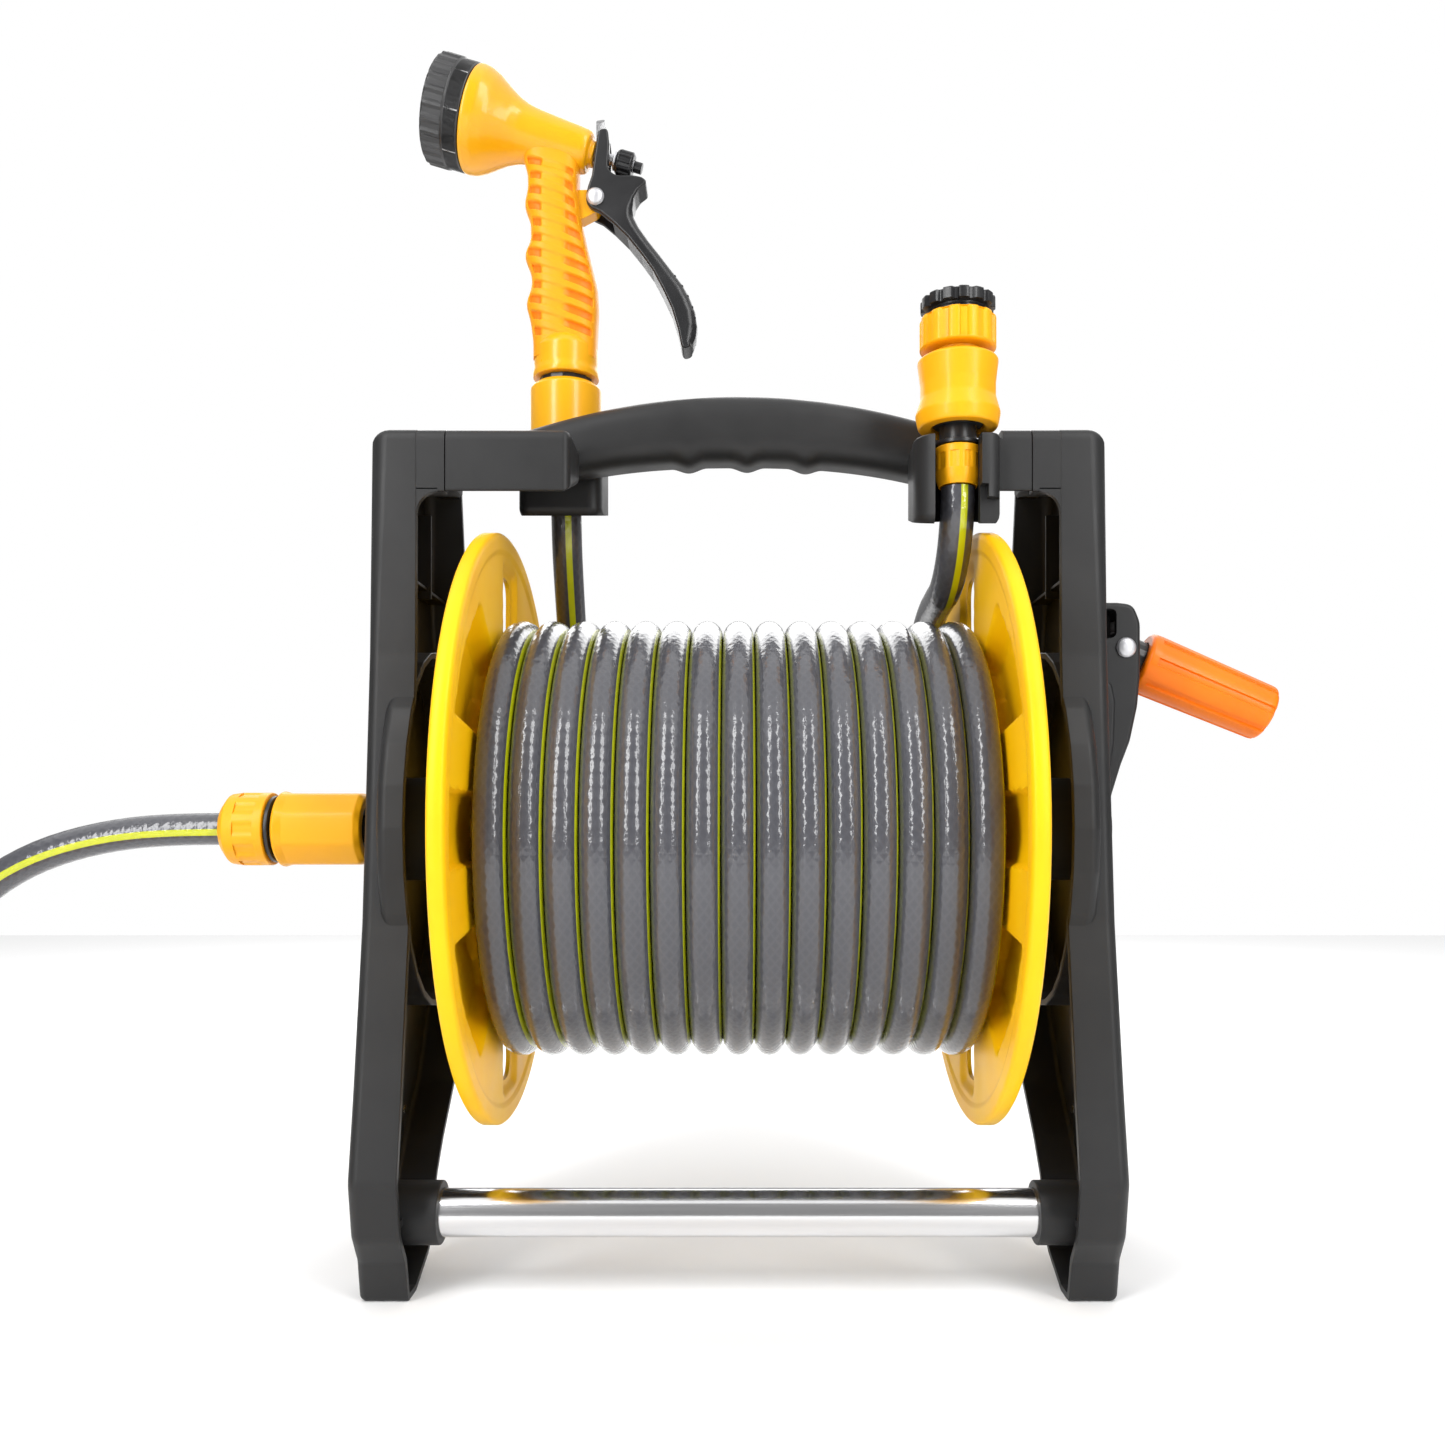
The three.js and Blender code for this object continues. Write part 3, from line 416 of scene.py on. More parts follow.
def outline(corners, inset=0.0, steps=5):
    """Rounded outline of [u, v, radius] corners with its sides moved inwards.

    inset may hold one distance for each corner. Every inset gives the same number of points.
    """
    moved, radii = inset_corners(corners, inset)
    radii = np.maximum(radii, LEAST_RADIUS)
    out = []
    for i, here in enumerate(moved):
        back, ahead = moved[i - 1] - here, moved[(i + 1) % len(moved)] - here
        room = 0.49 * min(np.linalg.norm(back), np.linalg.norm(ahead))
        back, ahead = unit(back), unit(ahead)
        half = math.acos(float(np.clip(back @ ahead, -0.9999, 0.9999))) / 2
        reach = min(radii[i] / math.tan(half), room)
        out += rounded(here + back * reach, here, here + ahead * reach, steps)
    return np.array(out)


AXES = {"x": (1, 2, 0), "y": (0, 2, 1), "z": (0, 1, 2)}


def lift(outline_points, axis, position):
    """An outline's two coordinates and its position along the axis as points."""
    u, v, w = AXES[axis]
    out = np.zeros((len(outline_points), 3))
    out[:, u], out[:, v] = outline_points[:, 0], outline_points[:, 1]
    out[:, w] = position
    return out


def slab(name, corners, axis, low, high, edges=(0.6, 0.6), look=None, steps=5, edge_steps=4):
    """A prism of an outline between two positions, with a rounded edge at either end.

    An edge radius may be one number or one for each corner.
    """
    loops = []
    for end, sign, radius in ((low, 1, edges[0]), (high, -1, edges[1])):
        radii = np.broadcast_to(radius, len(corners)).astype(float)
        order = range(edge_steps + 1)
        for step in (order if sign > 0 else reversed(order)):
            angle = math.pi / 2 * step / edge_steps
            inset = radii * (1 - math.sin(angle))
            along = end + sign * radii * (1 - math.cos(angle))
            position = np.repeat(along, steps + 1)
            loops.append(lift(outline(corners, inset, steps), axis, position))
    return loose_mesh(name, *skin(loops), look or BLACK)


def prism(name, points, axis, low, high):
    """A sharp-edged solid of an outline between two positions."""
    loops = [lift(np.array(points), axis, position) for position in (low, high)]
    return loose_mesh(name, *skin(loops), BLACK)


def basis(direction):
    """The direction's unit vector and two unit vectors across it."""
    ahead = unit(np.array(direction, float))
    helper = np.array([0, 0, 1.0]) if abs(ahead[2]) < 0.9 else np.array([0, -1.0, 0])
    side = unit(np.cross(helper, ahead))
    return ahead, side, np.cross(ahead, side)


def lathe(name, profile, origin, direction, look, count=64, shape=None, marks=None):
    """A turned solid of [along, radius, groove depth] points.

    shape gives the grooves' share of their depth round the solid, and marks a printed pattern.
    A profile that ends where it starts makes a ring.
    """
    ahead, side, up = basis(direction)
    angles = circle(count)
    grooves = shape(angles) if shape else np.zeros(count)
    across = np.cos(angles)[:, None] * side + np.sin(angles)[:, None] * up
    ring = list(profile[0][:2]) == list(profile[-1][:2])
    rows = profile[:-1] if ring else profile
    loops = []
    for along, radius, *depth in rows:
        r = radius - (depth[0] if depth else 0) * grooves
        loops.append(np.array(origin, float) + ahead * along + across * r[:, None])
    points, faces = skin(loops, (not ring, not ring))
    if ring:
        last = (len(loops) - 1) * count
        faces += [(last + i, last + (i + 1) % count, (i + 1) % count, i) for i in range(count)]
    values = {"mark": np.concatenate([marks(row[0], angles) for row in rows])} if marks else {}
    return loose_mesh(name, points, faces, look, values)


def rod(name, radius, start, end, look=None, count=32):
    axis = np.subtract(end, start)
    profile = [[0, radius], [np.linalg.norm(axis), radius]]
    return lathe(name, profile, start, axis, look or BLACK, count)


def block(name, low, high, look=None):
    (x0, y0, z0), (x1, y1, z1) = low, high
    points = [(x, y, z) for z in (z0, z1) for x, y in ((x0, y0), (x1, y0), (x1, y1), (x0, y1))]
    faces = [(3, 2, 1, 0), (4, 5, 6, 7), (0, 1, 5, 4), (1, 2, 6, 5), (2, 3, 7, 6), (3, 0, 4, 7)]
    return loose_mesh(name, points, faces, look or BLACK)


def rounded_profile(points, radius, steps=4, closed=False):
    """Rounds the corners of an [along, radius] profile, and may lead it back to its start."""
    out = [list(points[0])]
    for before, here, after in zip(points, points[1:], points[2:]):
        p = np.array([q[:2] for q in (before, here, after)], float)
        back, ahead = p[0] - p[1], p[2] - p[1]
        reach = min(radius, 0.45 * np.linalg.norm(back), 0.45 * np.linalg.norm(ahead))
        curve = rounded(p[1] + unit(back) * reach, p[1], p[1] + unit(ahead) * reach, steps)
        out += [[*spot, *here[2:]] for spot in curve]
    out.append(list(points[-1]))
    return [*out, out[0]] if closed else out


def lathe_piece(name, points, soft, origin, direction, look, count, body, node,
                crease=32, closed=True, shape=None):
    """A finished turned piece. soft gives its corners' radius and steps."""
    profile = rounded_profile(points, *soft, closed)
    made = lathe(name, profile, origin, direction, look, count, shape)
    finish_piece(made, body, [node], crease)


# ---- hoses --------------------------------------------------------------------------------
def smooth_path(points, spacing=3.0):
    """A uniform Catmull-Rom curve through given points, as in the part's source."""
    p = np.array(points, float)
    p = np.vstack([2 * p[0] - p[1], p, 2 * p[-1] - p[-2]])
    out = []
    for a, b, c, d in zip(p, p[1:], p[2:], p[3:]):
        count = max(2, int(np.linalg.norm(c - b) / spacing))
        for t in np.arange(count) / count:
            out.append(0.5 * (2 * b + (c - a) * t + (2 * a - 5 * b + 4 * c - d) * t ** 2
                              + (3 * b - a - 3 * c + d) * t ** 3))
    out.append(p[-2])
    return np.array(out)


BORE_STEPS = ((0.68, 0.0), (0.66, 14.0))  # an open end's wall, and the bore narrowing inwards


def hose_mesh(name, path, outward, stripe_degrees, sides, inner=HOSE_RADIUS, wide=HOSE_RADIUS,
              open_ends=(False, True)):
    """A hose along a path. outward gives each point's reference direction across the hose.

    The stripe lies stripe_degrees round from it. Its far side is inner millimetres away, and
    its half width wide. An open end shows the hose's wall and bore.
    """
    path = np.asarray(path, float)
    tangent = unit(np.gradient(path, axis=0))
    out = np.asarray(outward, float) * np.ones_like(path)
    out = unit(out - np.sum(out * tangent, 1)[:, None] * tangent)
    side = np.cross(tangent, out)
    step = np.linalg.norm(np.diff(path, axis=0), axis=1)
    along = np.concatenate([[0], np.cumsum(step)])
    angles = circle(sides)
    inner, wide = (np.broadcast_to(v, len(path))[:, None] for v in (inner, wide))
    tall = np.where(np.cos(angles)[None] > 0, HOSE_RADIUS, inner)
    rings = (path[:, None] + (np.cos(angles) * tall)[..., None] * out[:, None]
             + (np.sin(angles) * wide)[..., None] * side[:, None])
    points, faces = skin(rings, [not end for end in open_ends])
    turned = np.mod(angles / (2 * math.pi) - stripe_degrees / 360 + 0.5, 1.0)
    around = np.tile(turned, len(path))
    lengths = np.repeat(along * MM, sides)
    for row, inward, is_open in ((0, tangent[0], open_ends[0]),
                                 (len(path) - 1, -tangent[-1], open_ends[1])):
        rim = [row * sides + i for i in range(sides)]
        for scale, depth in BORE_STEPS if is_open else ():
            fresh = path[row] + (points[rim] - path[row]) * scale + inward * depth
            new = list(range(len(points), len(points) + sides))
            faces += [(rim[i], rim[i - sides + 1], new[i - sides + 1], new[i])
                      for i in range(sides)]
            points = np.vstack([points, fresh])
            around = np.concatenate([around, np.zeros(sides)])
            lengths = np.concatenate([lengths, lengths[rim]])
            rim = new
        if is_open:
            faces.append(tuple(rim))
    made = loose_mesh(name, points, faces, HOSE, {"along": lengths, "around": around})
    return made, along[-1] * MM


TURN_PITCH = 14.0
TURNS = 15
TURN_HALF_WIDTH = 7.0
TURN_UNDERSIDES = (6.65, 6.7)  # how far a turn reaches inwards, in the lower and the top layers
LAYER_RADII = (66.0, 79.35, 92.7)
STEPS_PER_TURN = 60
STEP_REACH = 55.0  # a turn steps sideways within this many degrees of the rear
CLIMB_START, CLIMB_END = 96.0, 172.0  # where the last turn leaves the winding for the gun
LEAVE_RADIUS, LEAVE_X = 108.3, -88.0
WINDING_SAG = 4.2  # the outer turns hang this much below the axis


def winding_path():
    """The wound hose, turn by turn, with its outward directions and turn numbers.

    Each turn lies square to the axis in front and steps sideways at the rear. Layers run right
    to left, left to right and right to left.
    """
    total = TURNS * len(LAYER_RADII)
    first, last = -180.0, 360.0 * (total - 1) + CLIMB_END
    degrees = np.linspace(first, last, int((last - first) / 360 * STEPS_PER_TURN) + 1)
    half = (TURNS - 1) / 2 * TURN_PITCH
    seats = []
    for layer, radius in enumerate(LAYER_RADII):
        order = range(TURNS) if layer % 2 else reversed(range(TURNS))
        seats += [(-half + TURN_PITCH * i, radius) for i in order]
    seats = np.array(seats + [seats[-1]])
    turn = np.floor((degrees + 180) / 360).astype(int)
    within = (degrees + 180) % 360  # 0 and 360 are at the rear
    share = ease((within - (360 - STEP_REACH)) / (2 * STEP_REACH))
    share_before = ease((within + STEP_REACH) / (2 * STEP_REACH))
    here, after = seats[turn], seats[np.minimum(turn + 1, total - 1)]
    before = seats[np.maximum(turn - 1, 0)]
    seat = np.where((within < STEP_REACH)[:, None], before + (here - before) * share_before[:, None],
                    here + (after - here) * share[:, None])
    climb = ease((degrees - (360 * (total - 1) + CLIMB_START)) / (CLIMB_END - CLIMB_START))
    x = seat[:, 0] + (LEAVE_X - seat[:, 0]) * climb ** 1.6
    radius = seat[:, 1] + (LEAVE_RADIUS - seat[:, 1]) * climb
    angle = np.radians(degrees)
    outward = np.stack([0 * angle, -np.cos(angle), -np.sin(angle)], 1)
    layer = (radius - LAYER_RADII[0]) / (LAYER_RADII[-1] - LAYER_RADII[0])
    sag = WINDING_SAG * np.clip(layer, 0, 1) * (1 - climb)
    return np.stack([x, 0 * x, -sag], 1) + outward * radius[:, None], outward, turn


GUN_HOSE = [
    (-86, 38, 166.6), (-86, 38.1, 162), (-86, 39.1, 154.5), (-86.1, 42.2, 142.8),
    (-86.3, 48, 130.6), (-86.7, 63, 105.9), (-87, 78, 81), (-87.3, 93.1, 56),
    (-87.6, 104.9, 28.1), (-87.8, 108.6, 0), (-88, 107.6, -15),
]
TAP_HOSE = [
    (96, -38, 149.1), (96, -37.9, 146), (96, -37.2, 141), (95.9, -34.5, 132.5),
    (95.8, -28.4, 122.8), (95.6, -18.7, 114.6), (95.4, -7.6, 110), (95.2, 5, 108.5),
    (95, 28.1, 104.9), (94.8, 54.3, 94.1), (94.6, 76.8, 76.8), (94.4, 94.1, 54.3),
    (94.2, 104.9, 28.1), (94, 108.6, 0),
]
SUPPLY_DROP = [
    (-239.8, 0, 0), (-262, 0, -0.4), (-284, 0, -2), (-306, 0, -6), (-327, 0, -12.8),
    (-346.5, 1, -23), (-363.5, 2, -37), (-377, 4, -54), (-386.5, 7, -73), (-394.5, 10, -92),
    (-404.5, 13, -110), (-418.5, 16, -126), (-436.5, 18.5, -138.5), (-457, 20, -147.5),
    (-480, 20, -153.5),
]
SUPPLY_TAIL = [
    (-480, -144, -192.3), (-458, -144, -192), (-438, -144, -188.8), (-421, -144, -184.2),
    (-407, -144, -182.3), (-395.2, -144, -182.3),
]
COIL_CENTRE, COIL_RADIUS, COIL_TURNS = (-480, -62), 82, 2.5


def supply_path():
    """Down from the inlet, round the coil on the ground, and out to its connector."""
    top, bottom = SUPPLY_DROP[-1][2], SUPPLY_TAIL[0][2]
    count = int(COIL_TURNS * 40)
    share = np.arange(1, count) / count
    angle = np.radians(90 + 360 * COIL_TURNS * share)
    coil = np.stack([COIL_CENTRE[0] + COIL_RADIUS * np.cos(angle),
                     COIL_CENTRE[1] + COIL_RADIUS * np.sin(angle),
                     top + (bottom - top) * share], 1)
    return smooth_path([*SUPPLY_DROP, *coil, *SUPPLY_TAIL], 6.0)


def twist_free(path, start):
    """A direction across the path that turns only as much as the path bends."""
    across = np.array(start, float)
    out = []
    for t in unit(np.gradient(path, axis=0)):
        across = unit(across - (across @ t) * t)
        out.append(across)
    return np.array(out)


def add_hoses():
    path, outward, turn = winding_path()
    inner = np.where(turn < TURNS * 2, *TURN_UNDERSIDES)
    winding, length = hose_mesh("wound_hose", path, outward, -70, 20, inner, TURN_HALF_WIDTH)
    finish_piece(winding, "drum", ["hose_winding"], weighted=False)

    runs = (
        ("gun_end_hose", GUN_HOSE, "hose_gun_end", (0, -1, 0),
         ["gun_hose_release_sleeve", "gun_hose_body", "gun_hose_hose_nut"]),
        ("tap_end_hose", TAP_HOSE, "hose_tap_end", (0, -1, 0.02),
         ["tap_hose_release_sleeve", "tap_hose_body", "tap_hose_hose_nut", "tap_adapter",
          "tap_reducer"]),
    )
    for name, points, cad, facing, fittings in runs:
        route = smooth_path(points, 2.5)
        made, length = hose_mesh(name, route, twist_free(route, facing), -14, 28)
        finish_piece(made, "root", [cad], weighted=False)

    route = supply_path()
    made, length = hose_mesh("supply_hose", route, twist_free(route, (0, -1, 0)), -12, 28,
                             open_ends=(False, False))
    finish_piece(made, "root", ["supply_hose_drop", "supply_hose_coil", "supply_hose_tail"],
                 weighted=False)


# ---- hose connectors ----------------------------------------------------------------------
def petals(count, width=0.5, soft=0.12):
    """A wave that is 0 on raised bars and 1 in the grooves between them."""
    def shape(angles):
        phase = np.abs(np.mod(angles * count / (2 * math.pi), 1.0) - 0.5) * 2
        return ease((phase - (1 - width) + soft) / (2 * soft))
    return shape


def facets(count, share, offset=0.0):
    """How far a rounded polygon's sides stand in from its corners, from 0 to 1."""
    def shape(angles):
        local = np.mod(angles + offset, 2 * math.pi / count) - math.pi / count
        flat = math.cos(math.pi / count) / np.cos(local)
        return (1 - flat) / (1 - math.cos(math.pi / count)) * share
    return shape


SLEEVE_RADIUS = 17.6


def add_connector(name, mouth, direction, sleeve, neck, nut, nut_radius, look, sleeve_body,
                  slim=SLEEVE_RADIUS, big=True, waist=0.0):
    """A click-fit hose connector: release sleeve, black body and hose nut.

    sleeve, neck and nut are their lengths, and slim is the sleeve's radius at its far end.
    """
    start = sleeve + neck
    end = start + nut
    radius = SLEEVE_RADIUS
    middle = [[share * sleeve, radius - waist, 0.5] for share in (0.4, 0.58)] if waist else []
    sleeve_profile = [
        [0, 11.6], [0, radius - 2.6, 0], [1.6 if waist else 2.4, radius, 0.9 if big else 0], *middle,
        [sleeve - 6, slim + (0.0 if big else 0.9), 0.9 if big else 0], [sleeve - 1.4, slim, 0],
        [sleeve, slim - (0.6 if waist else 2.2), 0], [sleeve, 11.6], [sleeve - 3, 11.6]]
    lathe_piece(f"{name}_sleeve", sleeve_profile, (0.9, 3), mouth, direction, look, 72, sleeve_body,
                f"{name}_release_sleeve", crease=38, shape=facets(8, 1.0, math.pi / 8))
    flare = 15.6 if big else 10.2
    body_profile = [
        [1.5, 7.3], [1.5, 10.9], [sleeve - 1.4, 10.9], [sleeve - 0.8, flare - 2.2],
        [start - 2.6, flare - 2.2], [start - 2.2, flare], [start - 0.4, flare],
        [start - 0.4, 7.3], [start - 2, 7.3]]
    lathe_piece(f"{name}_core", body_profile, (0.4, 2), mouth, direction, BLACK_SMOOTH, 56, "root",
                f"{name}_body")
    bars = 0.8 if big else 0.45
    nut_profile = [
        [start, 7.8], [start, nut_radius, 0], [start + 0.18 * nut, nut_radius, 0],
        [start + 0.2 * nut, nut_radius, bars], [start + 0.6 * nut, nut_radius, bars],
        [start + 0.62 * nut, nut_radius, 0], [end - 0.16 * nut, nut_radius - 0.6, 0],
        [end, nut_radius - (5.2 if big else 1.6), 0], [end, 7.8], [end - 2, 7.8]]
    lathe_piece(f"{name}_nut", nut_profile, (0.7, 3), mouth, direction, look, 120, "root",
                f"{name}_hose_nut", crease=38, shape=petals(10, 0.5))


def add_connectors():
    add_connector("inlet", (-173, 0, 0), (-1, 0, 0), 41, 3.5, 22, 17, CONNECTOR, "inlet_sleeve")
    add_connector("tap_hose", (TAP_X, TAP_Y, 206), (0, 0, -1), 31, 8.5, 17, 10, CONNECTOR,
                  "tap_hose_sleeve", big=False, waist=0.9)
    add_connector("gun_hose", (GUN_X, GUN_Y, 221), (0, 0, -1), 36, 4, 14, 10, GUN_YELLOW,
                  "gun_hose_sleeve", slim=16.6, big=False)
    add_connector("supply_end", (-328.2, -144, -182.3), (-1, 0, 0), 41, 3.5, 22, 17, CONNECTOR,
                  "supply_end_sleeve")


def add_tap_adapter():
    foot = (TAP_X, TAP_Y, 0)
    nut = [[192, 5], [192, 7], [206.3, 7], [206.4, 10], [208.8, 10], [209, 15.6], [209.6, 16.6, 0],
           [210.4, 16.6, 1.3], [222.4, 16.6, 1.3], [223.4, 15.9, 0.6], [223.5, 12.5], [212, 12.5],
           [212, 5], [194, 5]]
    lathe_piece("tap_nut", nut, (0.5, 2), foot, UP, CONNECTOR, 144, "tap_adapter", "tap_adapter",
                crease=38, shape=petals(12, 0.45))
    cap = [[213, 9.5], [213, 12.2], [223.8, 12.2], [223.8, 13.4], [224.8, 13.4], [225, 12.6],
           [226.4, 12.6], [226.4, 16.2, 1.6], [231.2, 16.2, 1.6], [231.6, 15.4, 1.4], [231.6, 9.5],
           [215, 9.5]]
    lathe_piece("tap_cap", cap, (0.4, 2), foot, UP, BLACK_SMOOTH, 144, "tap_adapter",
                "tap_reducer", crease=38, shape=petals(14, 0.35))


# ---- side frames --------------------------------------------------------------------------
FRAME_CORNERS = [
    (-44.5, 174, 5.5), (-45, 76, 40), (-56, -40, 60), (-69, -112, 30), (-76, -146, 16),
    (-71, -170, 12), (-62, -182, 6), (-57, -200, 3.5), (-44, -200, 3.5),
    (-20, -190, 10), (-6, -160, 16), (6, -146, 12), (28, -126, 20), (70, -62, 60),
    (82, 10, 60), (58, 105, 40), (51, 143, 20), (44.5, 174, 7),
]
WALL = 3.0
SCREW_SEAT_RADIUS, SCREW_SEAT_DEPTH = 4.8, 2.8
HANDLE_SCREWS = [(-29, 155.5), (-17, 159.5)]
TOP_PAD = [(-19, 143, 5), (-38.5, 84, 3), (-18, 86, 6), (3, 84, 3)]
LOW_PAD = [(-50, -124, 5), (-57, -72, 3), (-44, -76, 6), (-31, -80, 3)]


def ellipse_corners(half_y, half_z):
    return [(half_y * math.cos(a), half_z * math.sin(a), 12) for a in circle(28)]


def shrunk(corners, distance):
    """The same corners with their sides moved inwards by a distance."""
    moved, radii = inset_corners(corners, distance)
    return [(*p, max(r, 0.4)) for p, r in zip(moved.tolist(), radii)]


def inner_corner(x0, x1, z0, z1):
    """The web that rounds off the inside corner between a leg and the frame's top."""
    arc = [(x0 + (x1 - x0) * math.sin(a), z0 + (z1 - z0) * math.cos(a))
           for a in np.linspace(0, math.pi / 2, 9)]
    return [(x1 + 1.5, z0), (x1 + 1.5, z1 + 1.5), (x0, z1 + 1.5), *arc]


def frame_shell():
    """The right frame's hollow moulding, with the oval rim round the drum's bearing."""
    x0, x1 = FRAME_INNER_X, FRAME_OUTER_X
    heights = np.array([c[1] for c in FRAME_CORNERS])
    edge = 5.2 + 3.6 * ease((heights - 110) / 60) - 2 * ease((-175 - heights) / 15)
    shell = slab("right_side_panel", FRAME_CORNERS, "x", x0, x1, (0.5, edge), steps=6, edge_steps=7)
    combine(shell, "UNION",
            slab("boss", ellipse_corners(65, 83), "x", x0 + 0.2, 152, (0.5, 5.0), steps=3,
                 edge_steps=6))
    combine(shell, "DIFFERENCE",
            slab("hollow", shrunk(FRAME_CORNERS, WALL), "x", x0 - 4, x1 - WALL,
                 (0, np.maximum(edge - WALL, 1)), steps=6),
            slab("boss_hollow", ellipse_corners(62, 80), "x", x0 - 4, 149, (0, 2), steps=3))
    rim = slab("rim", ellipse_corners(64.6, 82.6), "x", x0 + 0.6, x1 - 1, (0.6, 0.2), steps=3)
    combine(rim, "DIFFERENCE",
            slab("rim_hole", ellipse_corners(62, 80), "x", x0 - 1, x1 - WALL, (0, 0.4), steps=3))
    combine(rim, "INTERSECT",
            slab("bound", shrunk(FRAME_CORNERS, 1.2), "x", x0 - 2, x1 - 1.2, (0, edge), steps=6))
    return combine(shell, "UNION", rim)


def frame_additions():
    """Pads, the top block, ribs, and the seats of the drum and the chrome tube."""
    x0, x1 = FRAME_INNER_X, FRAME_OUTER_X
    top_front = [(-44.3, 146.2, 1), (-44.3, 173.9, 5.5), (-8, 173.9, 3), (-8, 153, 3), (-36, 153, 6),
                 (-38, 146.2, 1)]
    top_rear = [(-30, 166.2, 2), (-30, 173.9, 1), (44.3, 173.9, 6), (44.3, 166.2, 1)]
    tall_rib = [(12, 110, 0.3), (12, 150, 0.3), (13.4, 150, 0.3), (13.4, 110, 0.3)]
    long_rib = [(-42, 114, 0.3), (-42, 115.4, 0.3), (50, 115.4, 0.3), (50, 114, 0.3)]
    bearing = [[0, 18.1], [0, 24], [x1 - 129, 24], [x1 - 129, 18.1]]
    socket = [[0, 0.1], [0, 13.5], [x1 - 128.2, 13.5], [x1 - 128.2, 0.1]]
    return [
        slab("pad", TOP_PAD, "x", x1 - 8, x1 - 1, (3.0, 0.2), steps=6),
        slab("pad", LOW_PAD, "x", x1 - 8, x1 - 1, (3.0, 0.2), steps=6),
        slab("top_front", top_front, "x", JOINT_X + 0.2, x1 - 10, (0.25, 0.3)),
        slab("top_rear", top_rear, "x", x0 + 0.5, x1 - 10, (0.6, 0.3)),
        prism("corner", inner_corner(JOINT_X + 3.2, FRAME_INNER_X, 137, 146.2), "y", -44.3, -41.4),
        slab("rib", tall_rib, "x", 147, x1 - 1, (0.3, 0.1), steps=2),
        slab("rib", long_rib, "x", 149, x1 - 1, (0.3, 0.1), steps=2),
        lathe("bearing", rounded_profile(bearing, 0.8, 3), (128, 0, 0), RIGHT, BLACK, 48),
        lathe("socket", rounded_profile(socket, 0.8, 3), (JOINT_X, TUBE_Y, TUBE_Z), RIGHT, BLACK, 40),
        block("web", (141, TUBE_Y - 18, TUBE_Z - 1.5), (x1 - 2, TUBE_Y + 30, TUBE_Z + 1.5)),
    ]


def add_frames():
    outside = FRAME_OUTER_X + 1
    seat_floor = FRAME_OUTER_X - SCREW_SEAT_DEPTH
    shell = combine(frame_shell(), "UNION", *frame_additions())
    combine(shell, "DIFFERENCE",
            rod("hole", TUBE_RADIUS + 0.15, (JOINT_X - 1, TUBE_Y, TUBE_Z), (150, TUBE_Y, TUBE_Z)),
            rod("hole", 18, (127, 0, 0), (FRAME_OUTER_X - WALL, 0, 0), count=40),
            rod("hole", 9, (150, 0, 0), (outside, 0, 0)),
            *[rod("seat", SCREW_SEAT_RADIUS, (seat_floor, y, z), (outside, y, z), count=40)
              for y, z in HANDLE_SCREWS])
    left = mirrored(shell, "left_side_panel")
    finish_piece(shell, "root", ["right_side_frame"], crease=28)
    finish_piece(left, "root", ["left_side_frame"], crease=28)


# ---- carry handle -------------------------------------------------------------------------
GRIP_HALF_Y = 13.5
FINGER_STEP, FINGER_MIDDLE, FINGER_HALF, FINGER_DEPTH = 27.2, 4.0, 8.5, 2.2


def squircle(count, power):
    """An outline between a circle and a square, 1 wide either way; more power is squarer."""
    angles = circle(count)
    return [np.sign(w) * np.abs(w) ** (2 / power) for w in (np.cos(angles), np.sin(angles))]


def grip_section(x):
    """Middle height and half height of the arched grip at x, with the finger bumps below."""
    far = abs(x) / JOINT_X
    top = 201 - 27 * far ** 2
    bottom = max(170 - 23 * far ** 2.5, 161)
    for bump_x in (-FINGER_STEP, 0, FINGER_STEP):
        near = abs(x - FINGER_MIDDLE - bump_x) / FINGER_HALF
        bottom -= FINGER_DEPTH * math.cos(math.pi / 2 * near) ** 2 if near < 1 else 0
    return (top + bottom) / 2, (top - bottom) / 2


def handle_arm(low, high, ends):
    """A front arm: its top front edge is well rounded, and its underside rises to the rear."""
    section = [(-44, 146.2, 1.2), (-44, 173.9, 5.5), (-10, 173.9, 4), (-10, 158, 4)]
    arm = slab("arm", section, "x", low, high, ends, steps=8, edge_steps=5)
    taper = [(-128, 145), (-128, 175), (-72, 173), (-72, 150.6), (0, 150.6), (0, 145)]
    if low > 0:
        taper = [(100, 145), (100, 175), (128, 175), (128, 145)]
    return combine(arm, "INTERSECT", prism("taper", taper, "y", -60, 10))


def tap_hose_clip():
    """The clip at the right, with its sloping underside and two steps in front."""
    corners = [(TAP_X - 21, -54, 15), (TAP_X - 18, -8, 6), (TAP_X + 14, -8, 5),
               (TAP_X + 16.6, -54, 7)]
    clip = slab("clip", corners, "z", 130, 169, (5, 1.2), steps=8, edge_steps=5)
    under = [(-60, 128), (-51, 130.5), (0, 145), (0, 120), (-60, 120)]
    return combine(clip, "DIFFERENCE", prism("under", under, "x", 60, 130),
                   block("step", (TAP_X + 5, -60, 120), (TAP_X + 10.4, -49.5, 147)),
                   block("step", (TAP_X + 10.3, -60, 120), (TAP_X + 30, -49.5, 141.5)))


def gun_holder():
    corners = [(GUN_X - 19.5, 10, 7), (GUN_X - 19.5, 54, 12), (GUN_X + 20.5, 54, 12),
               (GUN_X + 20.5, 10, 7)]
    holder = slab("holder", corners, "z", 149, 184, (5, 2), steps=6, edge_steps=6)
    under = prism("under", [(5, 148), (60, 162), (60, 140), (5, 140)], "x", -120, -50)
    return combine(holder, "DIFFERENCE", under)


